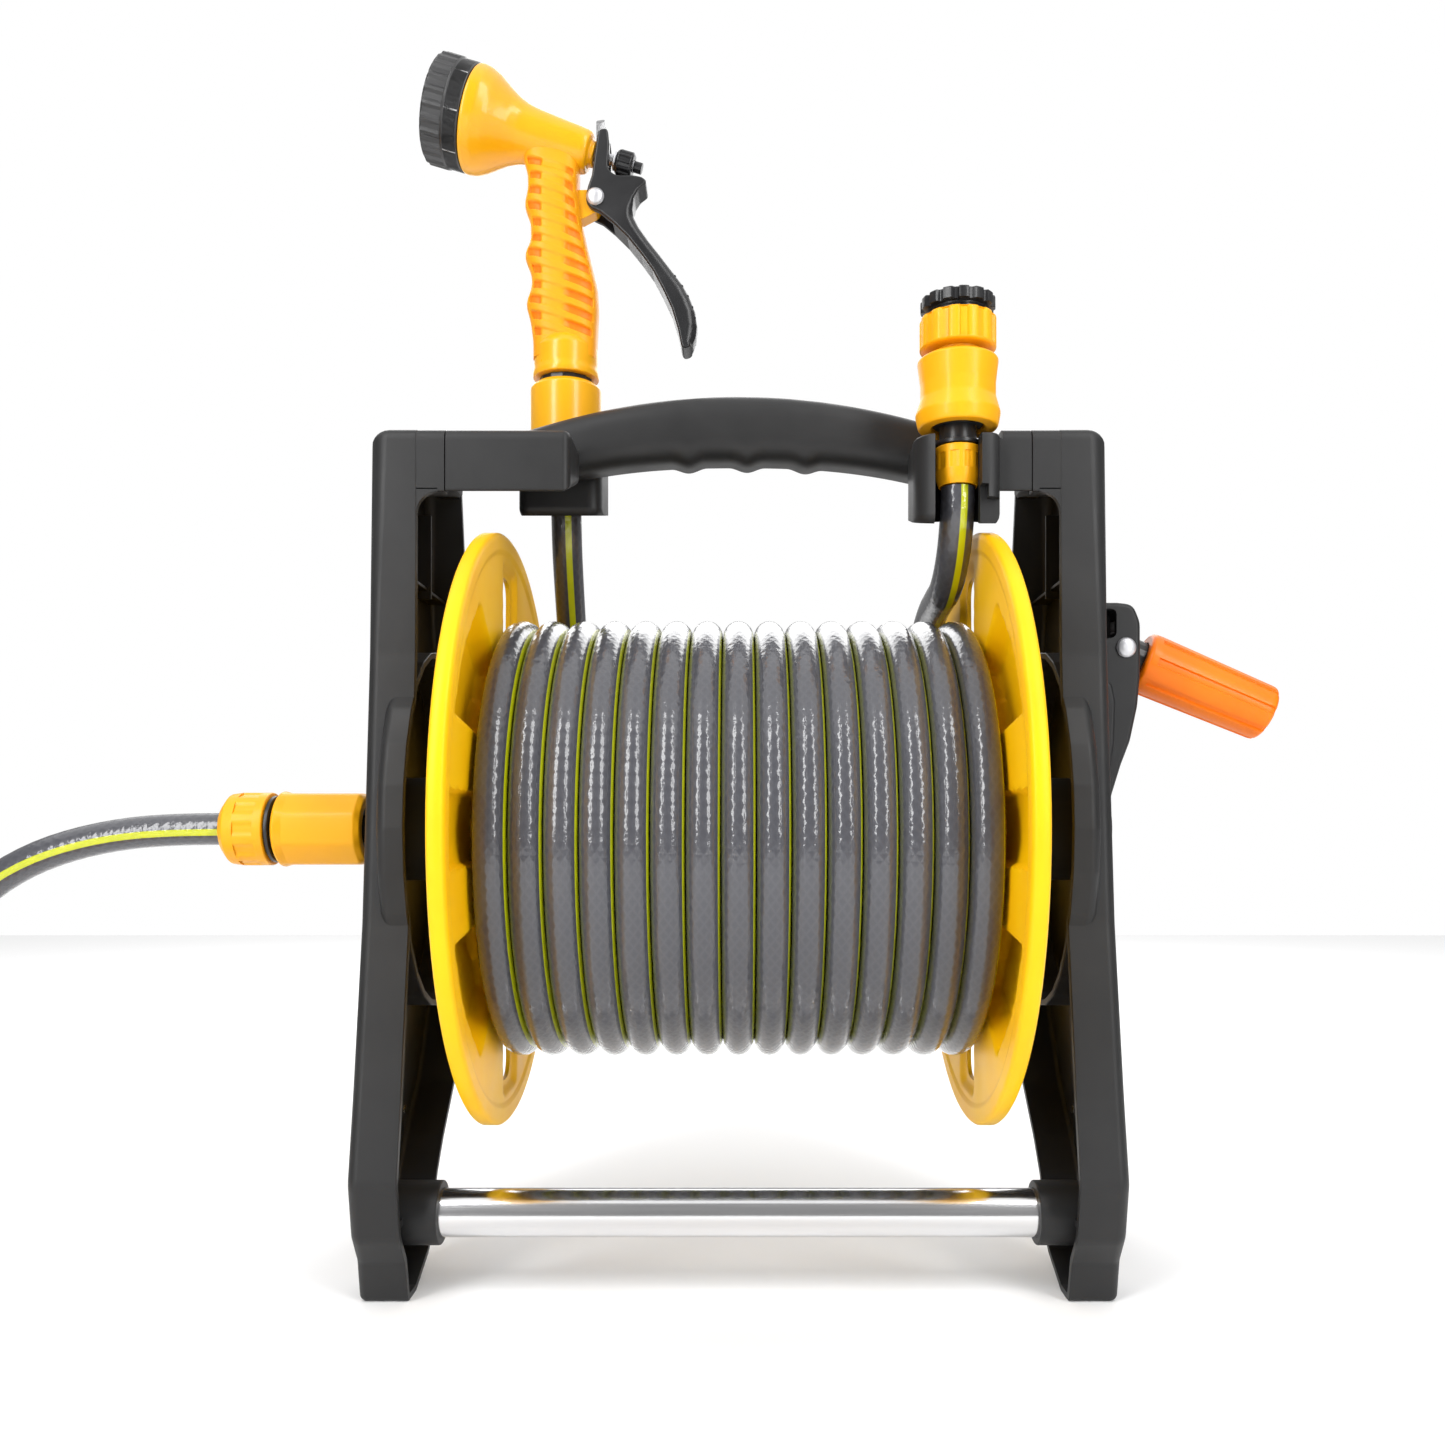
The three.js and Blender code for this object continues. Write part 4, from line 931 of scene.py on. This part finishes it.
def add_handle():
    u, v = squircle(48, 2.7)
    loops = []
    for x in np.linspace(-JOINT_X + 0.3, JOINT_X - 0.3, 240):
        middle, high = grip_section(x)
        loops.append(np.stack([np.full(len(u), x), GRIP_HALF_Y * u, middle + high * v], 1))
    handle = loose_mesh("carry_handle_moulding", *skin(loops), BLACK)
    reach = JOINT_X - 0.1
    right_arm = handle_arm(TAP_X + 12, reach, (0.3, 0.3))
    combine(right_arm, "DIFFERENCE", block("room", (100, -60, 169.2), (TAP_X + 18.6, 10, 180)))
    combine(handle, "UNION", handle_arm(-reach, -73, (0.3, 3.5)), right_arm, gun_holder(),
            tap_hose_clip())
    combine(handle, "DIFFERENCE",
            rod("cut", 17.6, (GUN_X, GUN_Y, 178), (GUN_X, GUN_Y, 230), count=64),
            rod("cut", 10.3, (GUN_X, GUN_Y, 140), (GUN_X, GUN_Y, 200), count=48),
            block("cut", (GUN_X - 9.4, GUN_Y, 140), (GUN_X + 9.4, GUN_Y + 30, 230)),
            rod("cut", 10.3, (TAP_X, TAP_Y, 120), (TAP_X, TAP_Y, 180), count=48),
            block("cut", (TAP_X - 12.2, TAP_Y - 30, 120), (TAP_X + 7.6, TAP_Y, 200)))
    finish_piece(handle, "root", ["carry_handle"], crease=28)


# ---- drum ---------------------------------------------------------------------------------
def polar(radius, degrees):
    return radius * math.cos(math.radians(degrees)), radius * math.sin(math.radians(degrees))


def distance_inside(points, corners):
    """Signed distance to a rounded polygon, positive inside it."""
    ring = outline(corners, 0, 6)
    nearest = np.full(len(points), 1e9)
    inside = np.zeros(len(points), bool)
    for a, b in zip(ring, np.roll(ring, -1, 0)):
        edge, offset = b - a, points - a
        t = np.clip(offset @ edge / max(edge @ edge, 1e-12), 0, 1)
        nearest = np.minimum(nearest, np.linalg.norm(offset - t[:, None] * edge, axis=1))
        crosses = (a[1] > points[:, 1]) != (b[1] > points[:, 1])
        if a[1] != b[1]:
            x = a[0] + (points[:, 1] - a[1]) / (b[1] - a[1]) * edge[0]
            inside ^= crosses & (points[:, 0] < x)
    return np.where(inside, nearest, -nearest)


def turned_corners(corners, degrees, flip=1):
    c, s = math.cos(math.radians(degrees)), math.sin(math.radians(degrees))
    return [(c * u - s * v * flip, s * u + c * v * flip, r) for u, v, r in corners]


DEEP = [(*polar(66, 32), 5), (*polar(124.5, 20), 4), (*polar(122, 36), 40), (*polar(118, 55), 9),
        (*polar(74, 68), 8)]
CUP = [(60, -15.5, 3), (125, -15.5, 3), (125, 15.5, 3), (60, 15.5, 3)]
SLOT = [(78, -9.5, 6), (117, -11.5, 9), (117, 11.5, 9), (78, 9.5, 6)]
SLOT_BED = [(62, -19, 6), (125, -20, 9), (125, 20, 9), (62, 19, 6)]
FLANGE_COLUMNS = 480
FLANGE_RINGS = np.concatenate([np.linspace(14, 96, 30), np.arange(97.2, 133, 1.2),
                               [133.6, 134.6, 135]])
FLANGE_BACK_X = 111
SNAP = 1.3  # grid points this near a slot's edge are moved onto it


def flange_grid(slots):
    """Grid points on the flange's face, with those near a slot's edge moved onto it."""
    angles, step = circle(FLANGE_COLUMNS), 0.05
    waves = (np.cos(angles), np.sin(angles))
    flat = np.stack([np.outer(FLANGE_RINGS, wave).ravel() for wave in waves], 1)
    for corners in slots:
        here = distance_inside(flat, corners)
        near = np.abs(here) < SNAP
        slope = np.stack([distance_inside(flat[near] + shift, corners) - here[near]
                          for shift in ([step, 0], [0, step])], 1) / step
        size = np.maximum(np.hypot(*slope.T), 0.5)
        flat[near] -= slope * (here[near] / size ** 2)[:, None]
    return flat


def flange_depth(flat):
    """How far the pockets, the cups and the slots' beds lie outside the flange's inner face."""
    radius = np.hypot(flat[:, 0], flat[:, 1])
    depth = 0.9 * ease((127 - radius) / 1.2) * ease((radius - 60) / 2)
    for turn, flip in ((0, 1), (0, -1), (180, 1), (180, -1)):
        inside = distance_inside(flat, turned_corners(DEEP, turn, flip))
        depth = np.maximum(depth, 9 * ease(inside / 7.5))
    cup = 6.5 - 2.6 * (flat[:, 1] / 15.5) ** 2
    for turn in (0, 180):
        inside = distance_inside(flat, turned_corners(CUP, turn))
        depth = np.maximum(depth, cup * ease(inside / 2.2))
    for turn in (90, 270):
        inside = distance_inside(flat, turned_corners(SLOT_BED, turn))
        depth = np.maximum(depth, 3.2 * ease(inside / 6.5))
    return depth


def flange_faces(open_point):
    """Front and back faces of the grid without its open places, and the walls at their edges."""
    count, columns = len(open_point), FLANGE_COLUMNS
    faces, edges = [], {}
    for r in range(len(FLANGE_RINGS) - 1):
        for i in range(columns):
            j = (i + 1) % columns
            quad = (r * columns + i, r * columns + j, (r + 1) * columns + j, (r + 1) * columns + i)
            if all(open_point[q] for q in quad):
                continue
            faces.append(quad)
            faces.append(tuple(q + count for q in reversed(quad)))
            for edge in zip(quad, quad[1:] + quad[:1]):
                edges[edge] = True
    faces += [(b, a, a + count, b + count) for a, b in edges if (b, a) not in edges]
    return faces


def add_flange(name, node_name, sign, bore):
    """A pressed flange with its hub and the collar that holds the drum's core."""
    slots = [turned_corners(SLOT, turn) for turn in (90, 270)]
    flat = flange_grid(slots)
    radius = np.hypot(flat[:, 0], flat[:, 1])
    depth = flange_depth(flat)
    rim_round = 1.2 * (np.maximum(0, radius - 133.4) / 1.6) ** 2
    front = np.where(radius < 40, FLANGE_INNER_X, FLANGE_INNER_X + depth + rim_round)
    step = FLANGE_BACK_X + 2.0 * ease((radius - 126.5) / 1.2)
    hub = FLANGE_BACK_X + 14 * ease((34 - radius) / 20)
    back = np.max([step, FLANGE_INNER_X + depth + 1.9, hub], 0) - rim_round
    points = np.concatenate([np.column_stack([front, flat]), np.column_stack([back, flat])])
    points[:, 0] *= sign
    open_point = np.max([distance_inside(flat, s) for s in slots], 0) > -0.02
    made = loose_mesh(name, points, flange_faces(open_point), YELLOW)
    tube = [[109, bore], [109, 14.2], [154, 14.2], [154, bore], [120, bore]]
    collar = [[100, 50], [100, 53.5], [107, 53.5], [107, 50], [104, 50]]
    work = bmesh.new()
    work.from_mesh(made.data)
    for profile, soft, count in ((tube, 0.4, 48), (collar, 0.3, 72)):
        added = lathe("added", rounded_profile(profile, soft, 2, True), (0, 0, 0), (sign, 0, 0),
                      YELLOW, count)
        work.from_mesh(added.data)
        bpy.data.objects.remove(added)
    work.to_mesh(made.data)
    work.free()
    finish_piece(made, "drum", [node_name], crease=48, weighted=False)


def add_drum():
    add_flange("left_drum_flange", "left_flange", -1, 8.9)
    add_flange("right_drum_flange", "right_flange", 1, 8)


# ---- crank --------------------------------------------------------------------------------
CRANK_X, ARM_HALF = 161.6, 18.6
CRANK_GRIP_START = 16.2  # along the grip from its fold pin


def add_rivet(name, head, soft, origin, body, node):
    """A silver pin along Y with the same domed head at either end."""
    profile = [[-along, radius] for along, radius in reversed(head)] + head
    lathe_piece(name, profile, soft, origin, REAR, RIVET, 40, body, node, crease=50,
                closed=False)


def add_crank_arm():
    side = [(CRANK_X + 0.1, -17, 2), (169, -17, 3), (169.2, 14, 16), (173.8, 29, 20),
            (178, 40, 20), (181.4, 56, 24), (182.6, 70, 30), (182.6, 94, 12), (179.4, 102.2, 6),
            (172, 103, 6), (CRANK_X + 0.1, 103, 2)]
    arm = slab("crank_arm_moulding", side, "y", -ARM_HALF, ARM_HALF, (2.2, 2.2), steps=5,
               edge_steps=5)
    foot = rounded_profile([[0, 0.1], [0, ARM_HALF], [8.3, ARM_HALF], [8.3, 0.1]], 2.0, 5)
    combine(arm, "UNION", lathe("foot", foot, (CRANK_X + 0.1, 0, 0), RIGHT, BLACK, 64))
    swell = [(160, 22, 2), (168, 21, 4), (170.5, 40, 16), (171, 58, 12), (169, 68, 4), (160, 66, 2)]
    combine(arm, "UNION", slab("swell", swell, "y", -ARM_HALF - 1.1, ARM_HALF + 1.1, (1.8, 1.8),
                               steps=4))
    channel = slab("channel", [(165.4, 22, 4), (210, 22, 2), (210, 95, 2), (165.4, 95, 3)],
                   "y", -15.4, 15.4, (0.5, 0.5), steps=4)
    window = slab("window", [(150, 84, 1), (171.5, 87, 3), (171.5, 100, 3), (150, 100, 1)],
                  "y", -30, 30, (0.3, 0.3), steps=4)
    pin_hole = rod("hole", 3.1, (PIN_X, -25, PIN_Z), (PIN_X, 25, PIN_Z))
    axle_hole = rod("hole", 8, (CRANK_X - 1, 0, 0), (166.7, 0, 0), count=40)
    combine(arm, "DIFFERENCE", channel, window, pin_hole, axle_hole)
    ribs = [block("rib", (CRANK_X + 0.2, y, 86), (171.8, y + 1.6, 101)) for y in (-8, 6.4)]
    combine(arm, "UNION", *ribs)
    finish_piece(arm, "drum", ["crank_arm"], crease=28)


def add_crank_grip():
    """The orange grip, a ribbed sleeve that turns on its spindle."""
    origin, axis = joint_frame("grip_spin")
    profile = rounded_profile([
        [-3.8, 9.5], [-3.8, 12.9, 0], [-2.4, 14.2, 0], [0.6, 14.35, 0.1],
        [1.8, 14.35, 1.15], [57.6, 13.2, 1.15], [59.2, 12.9, 1.0], [60.4, 11.4, 0.4],
        [60.7, 6, 0], [60.9, 0.1, 0]], 0.7, 3)
    bore = [[50, 0.1], [50, 5.2], [0.2, 5.2], [0.2, 9.5]]
    sleeve = lathe("crank_grip_moulding", [*profile, *bore, profile[0]],
                   origin + CRANK_GRIP_START * axis, axis, ORANGE, 192, petals(8, 0.30, 0.035))
    finish_piece(sleeve, "crank_grip", ["crank_grip"], crease=24)


def add_crank():
    add_crank_arm()
    add_crank_grip()
    head = [[18.7, 2.9], [18.9, 4.8], [20.2, 3.8], [20.9, 2.0], [21.0, 0.1]]
    add_rivet("crank_rivet", head, (0.6, 3), (PIN_X, 0, PIN_Z), "drum", "grip_fold_pin")


# ---- chrome tube --------------------------------------------------------------------------
def add_tube():
    end = 149.5
    profile = [[-end, 9], [-end, TUBE_RADIUS], [end, TUBE_RADIUS], [end, 9]]
    lathe_piece("chrome_tube", profile, (0.3, 3), (0, TUBE_Y, TUBE_Z), RIGHT, CHROME, 72, "root",
                "cross_tube")


# ---- spray gun ----------------------------------------------------------------------------
NOZZLE, BARREL = joint_frame("nozzle_dial_turn")
GRIP_LEFT = [(345, -107), (332, -106.7), (325.4, -104.9), (317.5, -104.4), (308.7, -106.3),
             (300.7, -103.2), (291.2, -103.0), (284, -106.4), (275.3, -102.9), (268.9, -102.5),
             (260.1, -105.6), (251.4, -103.2), (241, -101.9), (224, -101.9)]
GRIP_RIGHT = [(345, -79.2), (329.4, -79.2), (315.9, -79.5), (302.3, -78.0), (289.6, -75.2),
              (276.9, -72.0), (268.9, -70.2), (259.3, -69.7), (243.4, -70.4), (224, -70.8)]
SLOT_PITCH, SLOT_TOP, SLOT_SLOPE = 7.62, 329.2, 0.32
DIAL_BAND = (11.7, 18.3)  # where the dial's smooth band starts and ends


def edge_at(table, z, blur=2.6):
    """The grip's edge at a height, smoothed over the heights around it."""
    heights, edges = zip(*reversed(table))
    return np.mean([np.interp(z + d, heights, edges) for d in np.linspace(-blur, blur, 9)], 0)


def slot_depth(x, z, left, right):
    """How deep the grip's slanting slots are at a place on its face, and their colour, 0 to 1."""
    slanted = z + SLOT_SLOPE * (x + 100.7)
    phase = np.abs(np.mod((SLOT_TOP - slanted) / SLOT_PITCH + 0.5, 1.0) - 0.5)
    rung = ease((0.30 - phase) / 0.10)
    ends = ease((SLOT_TOP + 5 - slanted) / 1.5) * ease((slanted - 242) / 1.5) * ease((z - 241) / 2)
    left_column = ease((x - left - 1.5) / 1.2) * ease((-96.2 - x) / 1.2)
    fade = ease((x + 90) / 8.5)
    right_column = ease((right - 1.5 - x) / 1.1) * ease((x + 86.5) / 3.5)
    middle = 0.3 * ease((x + 98.5) / 2) * ease((right - 1.5 - x) / 1.1)
    depth = np.maximum(np.maximum(left_column, right_column), middle)
    tint = np.maximum(left_column, ease((right - 1.5 - x) / 1.1) * fade * 0.95)
    return rung * ends * depth, rung * ends * tint


def gun_grip():
    """The grip with its finger waves and two columns of slanting slots."""
    u, v = squircle(160, 3.0)
    loops, recess = [], []
    for z in np.linspace(233.0, 346.0, 283):
        left, right = edge_at(GRIP_LEFT, z), edge_at(GRIP_RIGHT, z)
        deep = 12.6 - 3.4 * float(ease((z - 318) / 14))
        x = (left + right) / 2 + (right - left) / 2 * u
        cut, tint = slot_depth(x, z, left, right)
        y = deep * v - np.sign(v) * np.minimum(cut * 1.9, np.abs(deep * v))
        loops.append(np.stack([x, GUN_Y + y, np.full(len(u), z)], 1))
        recess.append(tint)
    return loose_mesh("spray_gun_grip", *skin(loops), GUN_GRIP, {"recess": np.concatenate(recess)})


def dial_marks(distance, angles):
    """Ticks across the smooth band, one between every two spray patterns."""
    turn = np.mod(angles * 8 / (2 * math.pi), 1.0)
    start, end = DIAL_BAND
    return ((start <= distance <= end) & (np.abs(turn - 0.5) < 0.025)).astype(float)


def add_gun():
    bell = rounded_profile([
        [8.4, 0.1], [8.4, 5.3], [19.4, 5.3], [19.4, 25.0], [21, 25.2], [25, 24.6], [30, 22.2],
        [35, 18.9], [40, 15.9], [45, 13.9], [50, 12.9], [60, 11.9], [70, 11.1], [77, 10.4],
        [79.4, 9.4], [79.5, 6.2], [82.4, 6.2], [82.4, 3.2], [66, 3.2], [66, 0.1]], 1.6, 4)
    body = lathe("spray_gun_body", bell, NOZZLE, BARREL, GUN_YELLOW, 96)
    neck = rounded_profile([[223.8, 5], [223.8, 16.2], [226, 16.4], [229, 15.8], [238.6, 15.8],
                            [241, 14.4], [246, 10]], 0.8, 3)
    lug_side = [(-84, 299, 1), (-84, 317, 1), (-70.6, 317.1, 3), (-66, 311.7, 3), (-70.6, 306.1, 3)]
    combine(body, "UNION", lathe("collar", neck, (GUN_X, GUN_Y, 0), UP, GUN_YELLOW, 72),
            slab("lug", lug_side, "y", GUN_Y - 4.3, GUN_Y + 4.3, (0.5, 0.5), GUN_YELLOW))
    finish_piece(body, "root", ["gun_body"], crease=40)
    finish_piece(gun_grip(), "root", ["gun_body"], crease=60, weighted=False)

    ring = rounded_profile([
        [0.0, 20.8], [0.0, 24.2, 0], [0.9, 25.6, 0.9], [10.4, 25.6, 1.0], [10.9, 25.4, 0],
        [11.4, 25.0, 0], [11.6, 25.0, 0], [18.5, 25.0, 0], [19.1, 24.6, 0], [19.1, 6], [8.2, 6],
        [8.2, 20.8], [2, 20.8]], 0.35, 3, True)
    split = next(i for i, row in enumerate(ring) if row[0] > 11.65)
    ring[split:split] = [[along, 25.0, 0] for along in DIAL_BAND]
    dial = lathe("dial_ring", ring, NOZZLE, BARREL, PRINTED, 240, petals(24, 0.6, 0.14), dial_marks)
    finish_piece(dial, "nozzle_dial", ["nozzle_dial"], crease=34)


TRIGGER_OUTER = [
    (-59.8, 322.6), (-52.0, 322.6), (-47.6, 321.8), (-45.5, 320.0), (-45.9, 318.4), (-49.4, 315.7),
    (-51.8, 311.8), (-52.4, 307.1), (-51.8, 303.2), (-49.4, 298.5), (-44.8, 291.9), (-38.6, 284.1),
    (-32.3, 275.9), (-27.6, 269.7), (-24.1, 263.4), (-21.4, 256.4), (-20.4, 249.4), (-21.0, 243.9),
    (-22.6, 239.6), (-24.2, 237.7),
]
TRIGGER_INNER = [
    (-27.2, 237.0), (-28.4, 238.9), (-30.0, 247.0), (-33.1, 257.2), (-37.8, 267.3), (-42.4, 275.9),
    (-48.0, 283.7), (-54.9, 292.3), (-62.0, 299.3), (-68.2, 304.4), (-73.0, 306.6), (-75.2, 309.4),
    (-75.2, 313.3), (-74.3, 317.3), (-72.4, 322.7), (-71.3, 331.3), (-70.1, 339.8), (-69.3, 344.6),
    (-67.8, 345.5), (-65.1, 345.7), (-64.3, 344.2), (-63.7, 338.3), (-64.3, 326.6), (-62.7, 323.9),
]


TRIGGER_PIN = (-70.6, GUN_Y, 311.7)


def trigger_dots(low, high):
    """Two rows of small bumps along both edges of the lever's pull."""
    dots = []
    for row, (inset, lift_y) in enumerate(((0.9, 1.2), (2.7, 3.1))):
        for step in range(8):
            spot = 12.3 + 0.8 * step + 0.35 * row  # in steps along the lever's outer side
            index = int(spot)
            start, end = np.array(TRIGGER_OUTER[index:index + 2])
            inward = unit(np.array([end[1] - start[1], start[0] - end[0]]))
            x, z = start + (end - start) * (spot - index) + inward * inset
            for y in (low + 5 - lift_y, high - 5 + lift_y):
                dots.append(rod("dot", 0.75, (x, y - 1.2, z), (x, y + 1.2, z), BLACK_SMOOTH, 10))
    return dots


def add_trigger():
    contour = [(x, z, 4) for x, z in TRIGGER_OUTER + TRIGGER_INNER]
    share = np.linspace(0, 1, len(TRIGGER_OUTER))
    outer_edge = 1.2 + 3.8 * ease((share - 0.30) / 0.12) * ease((1.0 - share) / 0.08)
    edges = np.concatenate([outer_edge, np.full(len(TRIGGER_INNER), 1.2)])
    low, high = GUN_Y - 8, GUN_Y + 8
    lever = slab("trigger_moulding", contour, "y", low, high, (edges, edges), BLACK_SMOOTH, 2, 5)
    cuts = [
        block("cut", (-80, GUN_Y - 4.8, 298), (-62, GUN_Y + 4.8, 329)),
        block("cut", (-80, GUN_Y - 4.2, 328), (-55, GUN_Y + 4.2, 350)),
        rod("cut", 2.4, (TRIGGER_PIN[0], GUN_Y - 9, TRIGGER_PIN[2]),
            (TRIGGER_PIN[0], GUN_Y + 9, TRIGGER_PIN[2])),
    ]
    combine(lever, "DIFFERENCE", *cuts)
    combine(lever, "UNION", *trigger_dots(low, high))
    finish_piece(lever, "trigger", ["trigger"], crease=30)
    head = [[8.2, 2.1], [8.2, 4.6], [9.6, 3.4], [10.2, 1.8], [10.4, 0.1]]
    add_rivet("trigger_rivet", head, (0.5, 3), TRIGGER_PIN, "root", "trigger_pin")


def add_valve():
    """The flow knob behind the trigger, and the steel rod through it with its black cap."""
    knob = [[93.5, 2.9], [93.5, 5.2], [94.6, 6.1, 0.2], [95.2, 6.1, 0.7], [100.6, 6.1, 0.7],
            [101.2, 6.0, 0.2], [102, 5.0], [102, 2.9]]
    lathe_piece("flow_control_knob", knob, (0.3, 2), NOZZLE, BARREL, BLACK_SMOOTH, 96, "flow_knob",
                "flow_knob", crease=34, shape=petals(12, 0.6))
    stem = [[68, 0.1], [68, 2.6], [92.2, 2.6], [92.2, 4.5], [93.2, 4.5], [93.2, 2.6],
            [102.4, 2.6], [102.4, 0.1]]
    lathe_piece("valve_rod", stem, (0.2, 2), NOZZLE, BARREL, RIVET, 32, "valve_stem",
                "valve_stem", crease=40, closed=False)
    tip = [[102.4, 0.1], [102.4, 2.6], [103, 2.7], [106.5, 2.7], [106.5, 0.1]]
    lathe_piece("valve_rod_cap", tip, (0.3, 2), NOZZLE, BARREL, BLACK_SMOOTH, 32, "valve_stem",
                "valve_stem", crease=40, closed=False)


# ---- CAD parts that stay as they are ------------------------------------------------------
CAD_LOOKS = {
    "right_rear_foot": BLACK, "left_rear_foot": BLACK, "inlet_spigot": BLACK_SMOOTH,
    "drum_outlet_elbow": BLACK_SMOOTH, "grip_spindle": BLACK_SMOOTH, "gun_adapter": BLACK_SMOOTH,
    "nozzle_face": BLACK_SMOOTH, "flow_knob": BLACK_SMOOTH, "drum_core": YELLOW,
    "inlet_o_ring": RUBBER, "right_hub_bush": NYLON, "left_hub_bush": NYLON,
}


def dress_cad_nodes():
    for name, node in frame["nodes"].items():
        if node.hide_render:
            continue
        look = CAD_LOOKS.get(name, STEEL)
        node.data.materials.clear()
        node.data.materials.append(look.material)


make_camera()
make_studio()
make_floor()
add_connectors()
add_tap_adapter()
add_hoses()
add_frames()
add_handle()
add_drum()
add_crank()
add_tube()
add_gun()
add_trigger()
add_valve()
dress_cad_nodes()
